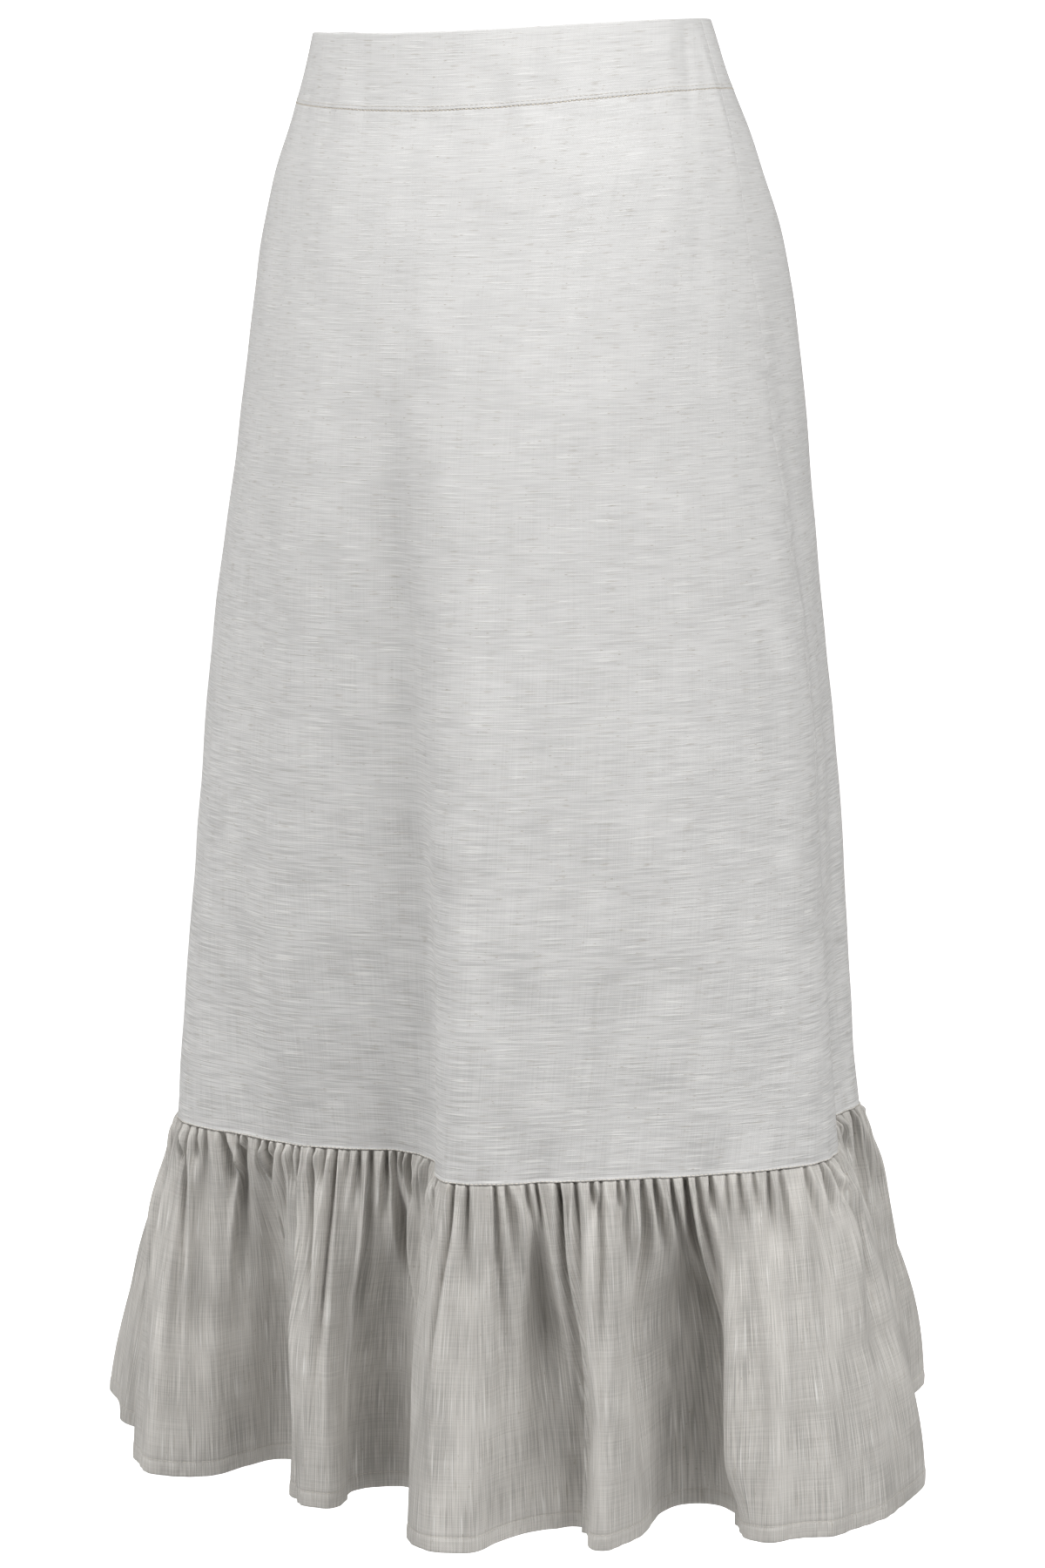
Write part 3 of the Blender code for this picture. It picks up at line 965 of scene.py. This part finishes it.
def stitched_line(name, points, normals, length, thickness, material):
    """Separate stitches lying along a line of points on the cloth."""
    steps = np.linalg.norm(np.diff(points, axis=0), axis=1)
    reach = np.concatenate([[0.0], np.cumsum(steps)])
    count = int(reach[-1] / length)
    verts = []
    faces = []
    for number in range(count):
        place = (number + 0.5) * reach[-1] / count
        start = on_line(points, reach, place - length * STITCH_TIP)
        forward = on_line(points, reach, place + length * STITCH_TIP) - start
        forward = forward / np.linalg.norm(forward)
        middle = on_line(points, reach, place)
        up = on_line(normals, reach, place)
        faces += stitch_faces(len(verts))
        verts += stitch_points(middle, forward, up, length, thickness / 2)
    mesh = bpy.data.meshes.new(name)
    mesh.from_pydata([tuple(v) for v in verts], [], faces)
    return finished_object(name, mesh, material)


# ---------------------------------------------------------------- halves of each piece

# Half of each piece: the share where it starts, at a side seam, and that of its middle
Half = namedtuple("Half", "name start middle")
HALVES = (Half("front", -SIDE_SEAM, 0.0), Half("back", SIDE_SEAM, 0.5))

# How far a lower or a back piece runs on under its neighbour, the closer places beside an edge,
# the radii of the edges, and half of the flat that a fully round edge keeps
TUCK = 0.0030
CLOSE = (0.0003, 0.0007, 0.0012, 0.0020, 0.0035)
SEAM_RADIUS = 0.0005
TOP_RADIUS = 0.00095
EDGE_FLAT = 0.00005

# Steps of the rows, the waistband's columns, and the drops or the length round the skirt on which
# the closer columns beside the side seams are measured
WAISTBAND_ROW_STEP = 0.0016
PANEL_ROW_STEP = 0.0036
WAISTBAND_COLUMNS = 260
WAISTBAND_COLUMN_DROP = 0.02
PANEL_COLUMN_DROP = 0.35
RUFFLE_COLUMN_GIRTH = 1.6

# Small ridges and grooves that run along a seam: height, place beside the seam and width
Bead = namedtuple("Bead", "height place width")
SIDE_DITCH = Bead(0.0002, 0.0, 0.003)
WAIST_DITCH = Bead(0.00015, 0.0, 0.0012)
PANEL_ROLL = Bead(0.00040, 0.0008, 0.0008)
PANEL_GROOVE = Bead(0.00025, 0.0026, 0.0007)
HEM_DITCH = Bead(0.00045, 0.0, 0.0007)
HEM_DITCH_BELOW = 0.0008

# The turned hem, by the height above its edge where it swells and where the wall doubles
HEM_SWELL = 0.00025
HEM_SWELL_STEP = (HEM_TURN - 0.0025, HEM_TURN - 0.0005)
HEM_WALL_STEP = (HEM_TURN - 0.0012, HEM_TURN)

# Clearances of a tucked cloth inside its neighbour's wall, and the stretch where it steps in
SIDE_CLEARANCE = 0.0004
SIDE_STEP = (-0.0008, 0.0002)
WAIST_CLEARANCE = 0.0002
WAIST_STEP = (-0.0005, 0.0002)
RUFFLE_CLEARANCE = 0.0003
RUFFLE_STEP = (-0.0005, 0.0009)

# Slow unevenness of the hanging cloth
PANEL_HANG = Waves(0.14, 0.30, 1.1, 31)
CLOTH_RIPPLES = Waves(0.050, 0.060, 1.1, 32)
CLOTH_RIPPLE_HEIGHT = 0.00022
SOFT_BELOW = 0.15
RUFFLE_SWAY = Waves(0.046, 0.26, 1.9, 51)
RUFFLE_SWAY_HEIGHT = 0.0020
RUFFLE_SWAY_GROWS = (0.02, 0.14)
RUFFLE_TUBES = Waves(0.027, 0.20, 1.9, 52)
RUFFLE_TUBE_HEIGHT = 0.0013
RUFFLE_TUBES_GROW = (0.008, 0.05)
RUFFLE_TUBES_FADE = (0.10, 0.21)
RUFFLE_TUBE_LOSS = 0.6

# How gathers open: the part that is open at the seam itself, and the part that opens below it
SEAM_OPENING = 0.50
SEAM_OPENS = (-0.0006, 0.0002)
LOWER_OPENING = 0.75
LOWER_OPENS = (0.0002, 0.0060)
BODY_FORM_ENDS = 0.050

# Puckers across a seam: height, reach beside it, size of a ripple, length round, and seed
Pucker = namedtuple("Pucker", "height reach pitch girth seed")
WAIST_PUCKER = Pucker(0.00028, 0.009, 0.014, 0.75, 33)
RUFFLE_PUCKER = Pucker(0.00050, 0.012, 0.022, 1.30, 34)
HEM_PUCKER = Pucker(0.00030, 0.006, 0.012, 1.98, 53)
HEM_PUCKER_ABOVE = 0.005
LEFT_PUCKER = Pucker(0.00040, 0.011, 0.017, 1.0, 41)
RIGHT_PUCKER = Pucker(0.00040, 0.011, 0.017, 1.0, 42)
SIDE_PUCKER_SLANT = 0.4
SIDE_PUCKER_GROWS = (0.09, 0.16)
SIDE_PUCKER_FADES = (0.30, 0.42)
SIDE_PUCKER_REST = 0.25


def bead_height(bead, distance):
    """Height of a ridge or groove at distances from its seam."""
    return bead.height * np.exp(-(((distance - bead.place) / bead.width) ** 2))


def column_shares(half, columns, girth):
    """Shares across one half. The back half runs on a little way under the front one."""
    start = half.start
    gap = SEAM_GAP / 2
    near = np.array(CLOSE) / girth
    even = np.linspace(start, start + 0.5, columns)
    even = even[(even > start + near[-1]) & (even < start + 0.5 - near[-1])]
    ends = [[start + gap / girth], start + near]
    if half.name == "back":
        ends.insert(0, [start - TUCK / girth])
    left = np.concatenate(ends)
    right = (2 * start + 0.5) - left[::-1]
    return np.concatenate([left, even, right])


def side_seam_sink(half, shares, girth, wall):
    """How far the cloth turns in at the side seams, and goes under where it is the back."""
    inside = np.minimum(shares - half.start, half.start + 0.5 - shares) * girth
    sink = round_edge(np.maximum(inside, 0.0), SEAM_RADIUS) + bead_height(SIDE_DITCH, inside)
    if half.name == "front":
        return sink
    depth = wall + SIDE_CLEARANCE - SEAM_RADIUS
    return sink + depth * (1.0 - ease(inside, *SIDE_STEP))


def seam_pucker(pucker, share, distance):
    """Small ripples across a seam, dying away from it."""
    kind = Waves(pucker.pitch, 1.0, pucker.girth, pucker.seed)
    waves = soft_noise(share, 0.0 * distance, kind)
    return pucker.height * (waves * np.exp(-np.abs(distance) / pucker.reach))


def side_pucker(share, drop, girth):
    """Short slanting puckers beside the side seams, where the seam's thread draws up."""
    grown = ease(drop, *SIDE_PUCKER_GROWS) * (1.0 - ease(drop, *SIDE_PUCKER_FADES))
    strong = grown + SIDE_PUCKER_REST
    total = 0.0
    for seam, pucker in ((SIDE_SEAM, LEFT_PUCKER), (-SIDE_SEAM, RIGHT_PUCKER)):
        apart = length_round(share, seam, girth)
        kind = Waves(1.0, pucker.pitch, pucker.girth, pucker.seed)
        wave = soft_noise(0.0 * share, drop + SIDE_PUCKER_SLANT * np.abs(apart), kind)
        total = total + pucker.height * strong * wave * np.exp(-np.abs(apart) / pucker.reach)
    return total


def body_relief(share, drop, girth):
    """Height of the soft unevenness of the waistband and panels, their creases and puckers."""
    softness = cloth_settings().softness * ease(drop, WAISTBAND_DEPTH, SOFT_BELOW)
    relief = softness * soft_noise(share, drop, PANEL_HANG)
    relief += CLOTH_RIPPLE_HEIGHT * soft_noise(share, drop, CLOTH_RIPPLES)
    relief += crease_relief(PANEL_CREASES, share, drop, girth)
    relief += crease_relief(WAIST_WRINKLES, share, drop, girth)
    relief += seam_pucker(WAIST_PUCKER, share, drop - WAISTBAND_DEPTH)
    relief += seam_pucker(RUFFLE_PUCKER, share, SEAM_DROP - drop)
    return relief + side_pucker(share, drop, girth)


def ruffle_relief(share, down, girth):
    """Height of the ruffle's gathers, creases and the body's form that runs on into it."""
    settings = cloth_settings()
    gathers = seam_gathers(settings.gathers, settings.gather_depth, settings.gather_length)
    opened = SEAM_OPENING * ease(down, *SEAM_OPENS) + LOWER_OPENING * ease(down, *LOWER_OPENS)
    relief = opened * gather_relief([*gathers, *PLACED_GATHERS], share, down, girth)
    relief += crease_relief(RUFFLE_CREASES, share, down, girth)
    relief += dent_relief(DENTS, share, down, girth)
    sway = RUFFLE_SWAY_HEIGHT * ease(down, *RUFFLE_SWAY_GROWS)
    relief += sway * soft_noise(share, down, RUFFLE_SWAY)
    kept = 1.0 - RUFFLE_TUBE_LOSS * ease(down, *RUFFLE_TUBES_FADE)
    tubes = RUFFLE_TUBE_HEIGHT * ease(down, *RUFFLE_TUBES_GROW) * kept
    relief += tubes * soft_noise(share, down, RUFFLE_TUBES)
    seam = np.full((1, 1), SEAM_DROP)
    relief += body_relief(share, seam, girth[:1]) * (1.0 - ease(down, 0.0, BODY_FORM_ENDS))
    hem = RUFFLE_LENGTH - down
    return relief + seam_pucker(HEM_PUCKER, share, hem - HEM_PUCKER_ABOVE)


def cut_places(half, share, drop, girth):
    """Where each point lies on the flat cut: across from the middle of the half, and down."""
    across = (share - half.middle) * girth
    return np.stack(np.broadcast_arrays(across, -drop + 0.0 * share), axis=-1)


def wall_faces(base, relief, raised, wall, turned):
    """The outer face with its raised details, and the inner one, clear of the relief's dips."""
    normals = facing_out(base)
    outer = base + normals * (raised - turned)[..., None]
    inner = base + normals * (lowest_near(relief) - wall + turned)[..., None]
    return outer, inner


def waistband_half(half, material):
    """Front or back half of the waistband, with a soft top edge."""
    drops = places_between(0.0, WAISTBAND_DEPTH - SEAM_GAP / 2, WAISTBAND_ROW_STEP)
    girth = girths(body_points, drops)
    length = ring_length(body_points, WAISTBAND_COLUMN_DROP)
    shares = column_shares(half, WAISTBAND_COLUMNS, length)
    base = grid_of(body_points, shares, drops)
    share = shares[None, :]
    drop = drops[:, None]
    relief = body_relief(share, drop, girth)
    relief -= side_seam_sink(half, share, girth, WAISTBAND_WALL)
    turned = round_edge(drop, TOP_RADIUS) + round_edge(WAISTBAND_DEPTH - drop, SEAM_RADIUS)
    outer, inner = wall_faces(base, relief, relief, WAISTBAND_WALL, turned)
    cut = cut_places(half, share, drop, girth)
    return cloth_object(f"waistband_{half.name}_cloth", outer, inner, cut, material)


def panel_half(half, material):
    """Front or back panel, tucked under the waistband and rolled over at the ruffle's seam."""
    top = WAISTBAND_DEPTH - TUCK
    drops = places_between(top, SEAM_DROP - SEAM_GAP / 2, PANEL_ROW_STEP)
    beside_seam = WAISTBAND_DEPTH + np.array((-0.0006, -0.0003, 0.0, *CLOSE, 0.006))
    drops = np.unique(np.concatenate([drops, beside_seam]))
    girth = girths(body_points, drops)
    length = ring_length(body_points, PANEL_COLUMN_DROP)
    shares = column_shares(half, cloth_settings().panel_columns, length)
    base = grid_of(body_points, shares, drops)
    share = shares[None, :]
    drop = drops[:, None]
    below = drop - WAISTBAND_DEPTH
    above = SEAM_DROP - drop
    relief = body_relief(share, drop, girth)
    relief -= side_seam_sink(half, share, girth, PANEL_WALL)
    relief -= bead_height(WAIST_DITCH, below)
    relief -= (WAISTBAND_WALL + WAIST_CLEARANCE) * (1.0 - ease(below, *WAIST_STEP))
    raised = relief + bead_height(PANEL_ROLL, above) - bead_height(PANEL_GROOVE, above)
    turned = round_edge(above, PANEL_WALL / 2 - EDGE_FLAT)
    outer, inner = wall_faces(base, relief, raised, PANEL_WALL, turned)
    cut = cut_places(half, share, drop, girth)
    return cloth_object(f"{half.name}_panel_cloth", outer, inner, cut, material)


def ruffle_rows():
    """Distances of the ruffle's rows below its seam, closest where the cloth turns."""
    turn = RUFFLE_LENGTH - HEM_TURN
    tucked = (-TUCK, -0.0008, -0.0002, 0.0004)
    gathered = (np.linspace(0.0010, 0.014, 12), np.linspace(0.0165, 0.060, 14))
    hanging = np.linspace(0.066, turn - 0.004, 19)
    stitched = turn + np.array((-0.0016, -0.0007, 0.0000, 0.0008, 0.0018, 0.0040))
    edge = RUFFLE_LENGTH - np.array((0.0030, 0.0014, 0.0006, 0.0002, 0.0))
    return np.concatenate([tucked, *gathered, hanging, stitched, edge])


def ruffle_half(half, material):
    """Front or back half of the ruffle, with its turned and stitched hem."""
    below = ruffle_rows()
    girth = girths(ruffle_points, below)
    shares = column_shares(half, cloth_settings().ruffle_columns, RUFFLE_COLUMN_GIRTH)
    base = grid_of(ruffle_points, shares, below)
    share = shares[None, :]
    down = below[:, None]
    hem = RUFFLE_LENGTH - down
    relief = ruffle_relief(share, down, girth)
    relief -= side_seam_sink(half, share, girth, RUFFLE_WALL)
    relief -= (PANEL_WALL + RUFFLE_CLEARANCE) * (1.0 - ease(down, *RUFFLE_STEP))
    stitch = bead_height(HEM_DITCH, hem - HEM_TURN + HEM_DITCH_BELOW)
    swell = HEM_SWELL * (1.0 - ease(hem, *HEM_SWELL_STEP))
    doubled = 1.0 - ease(hem, *HEM_WALL_STEP)
    wall = RUFFLE_WALL + (HEM_WALL - RUFFLE_WALL) * doubled
    turned = round_edge(hem, HEM_WALL / 2 - EDGE_FLAT)
    outer, inner = wall_faces(base, relief, relief - stitch + swell, wall, turned)
    cut = cut_places(half, share, down, RUFFLE_CUT)
    return cloth_object(f"ruffle_{half.name}_cloth", outer, inner, cut, material)


# ---------------------------------------------------------------- operators


class SKIRT_OT_waistband(bpy.types.Operator):
    """Make both halves of the contoured waistband"""

    bl_idname = "skirt.waistband"
    bl_label = "Waistband"

    def execute(self, context):
        material = linen_material(BODY_LINEN, colour_settings().linen)
        for half in HALVES:
            cloth = waistband_half(half, material)
            add_piece(cloth, "linen", f"waistband_{half.name}")
        return {"FINISHED"}


class SKIRT_OT_panels(bpy.types.Operator):
    """Make the front and back panels"""

    bl_idname = "skirt.panels"
    bl_label = "Front and back panels"

    def execute(self, context):
        material = bpy.data.materials[BODY_LINEN.name]
        for half, area in zip(HALVES, (0.317, 0.348)):
            cloth = panel_half(half, material)
            add_piece(cloth, "linen", f"{half.name}_panel")
        return {"FINISHED"}


class SKIRT_OT_ruffle(bpy.types.Operator):
    """Make both halves of the gathered ruffle"""

    bl_idname = "skirt.ruffle"
    bl_label = "Gathered ruffle"

    def execute(self, context):
        # The ruffle's colour holds painted shade: the body's linen made darker and warmer
        material = linen_material(RUFFLE_LINEN, colour_settings().ruffle)
        for half in HALVES:
            cloth = ruffle_half(half, material)
            add_piece(cloth, "ruffle_linen", f"ruffle_{half.name}")
        return {"FINISHED"}


# Lines of stitches: the surface, its relief and the place on it, how far the thread stands out,
# its thickness, the length of a stitch, its colour and the material slot
Line = namedtuple("Line", "name surface relief place lift thickness stitch colour slot")
LINES = (
    Line("ruffle_seam_edge", body_points, body_relief, SEAM_DROP - 0.0007, 0.00030, 0.00075,
         0.0026, "cream_thread", "linen"),
    Line("waist_seam_stitches", body_points, body_relief, WAISTBAND_DEPTH - 0.0022, 0.00002,
         0.00032, 0.0030, "cream_thread", "linen"),
    Line("waist_seam_thread", body_points, body_relief, WAISTBAND_DEPTH + 0.0001, -0.00022,
         0.00066, 0.0026, "beige_thread", "linen"),
    Line("hem_stitches", ruffle_points, ruffle_relief, RUFFLE_LENGTH - HEM_TURN + 0.0008,
         -0.00035, 0.00034, 0.0032, "cream_thread", "ruffle_linen"),
)
LINE_POINTS = 3601
LINE_BESIDE = 0.002


def sewn_line(line, material):
    """One line of stitches all round the skirt, on the relief of its cloth."""
    share = np.linspace(-0.5, 0.5, LINE_POINTS)
    places = line.place + np.array((-LINE_BESIDE, 0.0, LINE_BESIDE))
    grid = grid_of(line.surface, share, places)
    girth = girths(line.surface, places)
    normals = facing_out(grid)[1]
    relief = line.relief(share[None, :], places[:, None], girth)[1]
    points = grid[1] + normals * (relief + line.lift)[:, None]
    return stitched_line(line.name, points, normals, line.stitch, line.thickness, material)


class SKIRT_OT_stitches(bpy.types.Operator):
    """Sew the edge stitching of the waist and ruffle seams and the hem"""

    bl_idname = "skirt.stitches"
    bl_label = "Stitches"

    def execute(self, context):
        colours = colour_settings()
        materials = {
            name: thread_material(name, getattr(colours, name))
            for name in ("cream_thread", "beige_thread")
        }
        for line in LINES:
            add_piece(sewn_line(line, materials[line.colour]), line.slot)
        return {"FINISHED"}


class SKIRT_OT_stage(bpy.types.Operator):
    """Set up the pale floor, the soft lights and the camera"""

    bl_idname = "skirt.stage"
    bl_label = "Studio and camera"

    def execute(self, context):
        make_floor()
        make_lights()
        make_camera()
        return {"FINISHED"}


# The studio's floor runs from in front of the skirt to a little behind it, where the sweep starts
FLOOR_FRONT = 1.0
FLOOR_BACK = 0.38
SWEEP_BACK = 6.0
SWEEP_CURVE = 1.0
SWEEP_HEIGHT = 1.35
SWEEP_HALF_WIDTH = 1.15
SWEEP_STEPS = 16
SWEEP_WHITE = (0.90, 0.90, 0.90, 1.0)
FLOOR_GREY = (0.60, 0.60, 0.60, 1.0)


def make_floor():
    """A pale floor under the skirt, and behind it a white sweep that curves up into a backdrop."""
    stage = stage_settings()
    profile = [(-FLOOR_FRONT, 0.0), (FLOOR_BACK, 0.0), (SWEEP_BACK - SWEEP_CURVE, 0.0)]
    for step in range(1, SWEEP_STEPS + 1):
        turn = math.pi / 2 * step / SWEEP_STEPS
        back = SWEEP_BACK - SWEEP_CURVE + SWEEP_CURVE * math.sin(turn)
        profile.append((back, SWEEP_CURVE * (1 - math.cos(turn))))
    profile.append((SWEEP_BACK, SWEEP_HEIGHT))
    verts = [(x, y, z) for y, z in profile for x in (-SWEEP_HALF_WIDTH, SWEEP_HALF_WIDTH)]
    faces = [(2 * k, 2 * k + 1, 2 * k + 3, 2 * k + 2) for k in range(len(profile) - 1)]
    mesh = bpy.data.meshes.new("studio_sweep")
    mesh.from_pydata(verts, [], faces)
    mesh.shade_smooth()
    white = Graph("white_sweep").finish(
        Base_Color=SWEEP_WHITE,
        Roughness=0.9,
        Emission_Color=(1.0, 1.0, 1.0, 1.0),
        Emission_Strength=1.0,
    )
    mesh.materials.append(white)
    mesh.materials.append(Graph("pale_floor").finish(Base_Color=FLOOR_GREY, Roughness=0.9))
    mesh.polygons[0].material_index = 1
    floor = bpy.data.objects.new("studio_sweep", mesh)
    floor.location.z = -stage.floor
    floor.rotation_euler.z = stage.azimuth
    bpy.context.scene.collection.objects.link(floor)


# Soft lamps, placed by their turn to the wearer's left and their height, seen from their aim
Lamp = namedtuple("Lamp", "name azimuth_deg elevation_deg distance size power")
LAMPS = (
    Lamp("left_key", -30, 54, 3.0, 1.9, 64.0),
    Lamp("right_key", 60, 44, 2.9, 1.8, 69.0),
    Lamp("left_low", -30, -10, 4.0, 2.3, 44.0),
    Lamp("right_low", 90, -10, 4.0, 2.3, 42.0),
    Lamp("left_side", -90, -10, 4.0, 2.3, 28.0),
)
LAMP_AIM = (0.0, 0.0, -0.40)
SKY = 0.04
SKY_COLOUR = (1.0, 0.87, 0.68, 1.0)
SENSOR_WIDTH = 36.0


def make_lights():
    """The soft lamps and a faint warm sky."""
    for lamp in LAMPS:
        data = bpy.data.lights.new(lamp.name, "AREA")
        data.shape = "SQUARE"
        data.size = lamp.size
        data.energy = lamp.power
        light = bpy.data.objects.new(lamp.name, data)
        turn = math.radians(lamp.azimuth_deg)
        rise = math.radians(lamp.elevation_deg)
        level = math.cos(rise) * lamp.distance
        height = math.sin(rise) * lamp.distance
        away = Vector((math.sin(turn) * level, -math.cos(turn) * level, height))
        light.location = Vector(LAMP_AIM) + away
        light.rotation_mode = "QUATERNION"
        light.rotation_quaternion = away.to_track_quat("Z", "Y")
        bpy.context.scene.collection.objects.link(light)
    world = bpy.data.worlds.new("studio")
    world.use_nodes = True
    sky = world.node_tree.nodes["Background"]
    sky.inputs["Color"].default_value = SKY_COLOUR
    sky.inputs["Strength"].default_value = SKY
    bpy.context.scene.world = world
    bpy.context.scene.view_settings.view_transform = "Standard"


def make_camera():
    """The camera, in front of the skirt and a little to the wearer's left."""
    stage = stage_settings()
    data = bpy.data.cameras.new("camera")
    data.lens = stage.lens
    data.sensor_width = SENSOR_WIDTH
    camera = bpy.data.objects.new("camera", data)
    turn = stage.azimuth
    right = Vector((math.cos(turn), math.sin(turn), 0.0))
    back = Vector((math.sin(turn), -math.cos(turn), 0.0))
    camera.location = back * stage.distance + right * stage.sideways
    camera.location.z = stage.height
    camera.rotation_euler = (math.pi / 2 - stage.pitch, 0.0, turn)
    bpy.context.scene.collection.objects.link(camera)
    bpy.context.scene.camera = camera


class SKIRT_PT_panel(bpy.types.Panel):
    """Steps that dress the skirt, in order"""

    bl_idname = "SKIRT_PT_panel"
    bl_label = "Linen midi skirt"
    bl_space_type = "VIEW_3D"
    bl_region_type = "UI"
    bl_category = "Skirt"

    def draw(self, context):
        for operator in OPERATORS:
            self.layout.operator(operator.bl_idname)
        for group in ("skirt_cloth", "skirt_colours", "skirt_stage"):
            settings = getattr(context.scene, group)
            box = self.layout.box()
            for name in settings.__annotations__:
                box.prop(settings, name)


SETTINGS = (SkirtClothSettings, SkirtColourSettings, SkirtStageSettings)
OPERATORS = (
    SKIRT_OT_waistband,
    SKIRT_OT_panels,
    SKIRT_OT_ruffle,
    SKIRT_OT_stitches,
    SKIRT_OT_stage,
)


def register():
    for item in (*SETTINGS, *OPERATORS, SKIRT_PT_panel):
        bpy.utils.register_class(item)
    scene = bpy.types.Scene
    scene.skirt_cloth = bpy.props.PointerProperty(type=SkirtClothSettings)
    scene.skirt_colours = bpy.props.PointerProperty(type=SkirtColourSettings)
    scene.skirt_stage = bpy.props.PointerProperty(type=SkirtStageSettings)


def unregister():
    del bpy.types.Scene.skirt_stage
    del bpy.types.Scene.skirt_colours
    del bpy.types.Scene.skirt_cloth
    for item in reversed((*SETTINGS, *OPERATORS, SKIRT_PT_panel)):
        bpy.utils.unregister_class(item)


def main():
    """Dress the skirt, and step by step."""
    register()
    bpy.ops.skirt.waistband()
    bpy.ops.skirt.panels()
    bpy.ops.skirt.ruffle()
    bpy.ops.skirt.stitches()
    bpy.ops.skirt.stage()


if __name__ == "__main__":
    main()
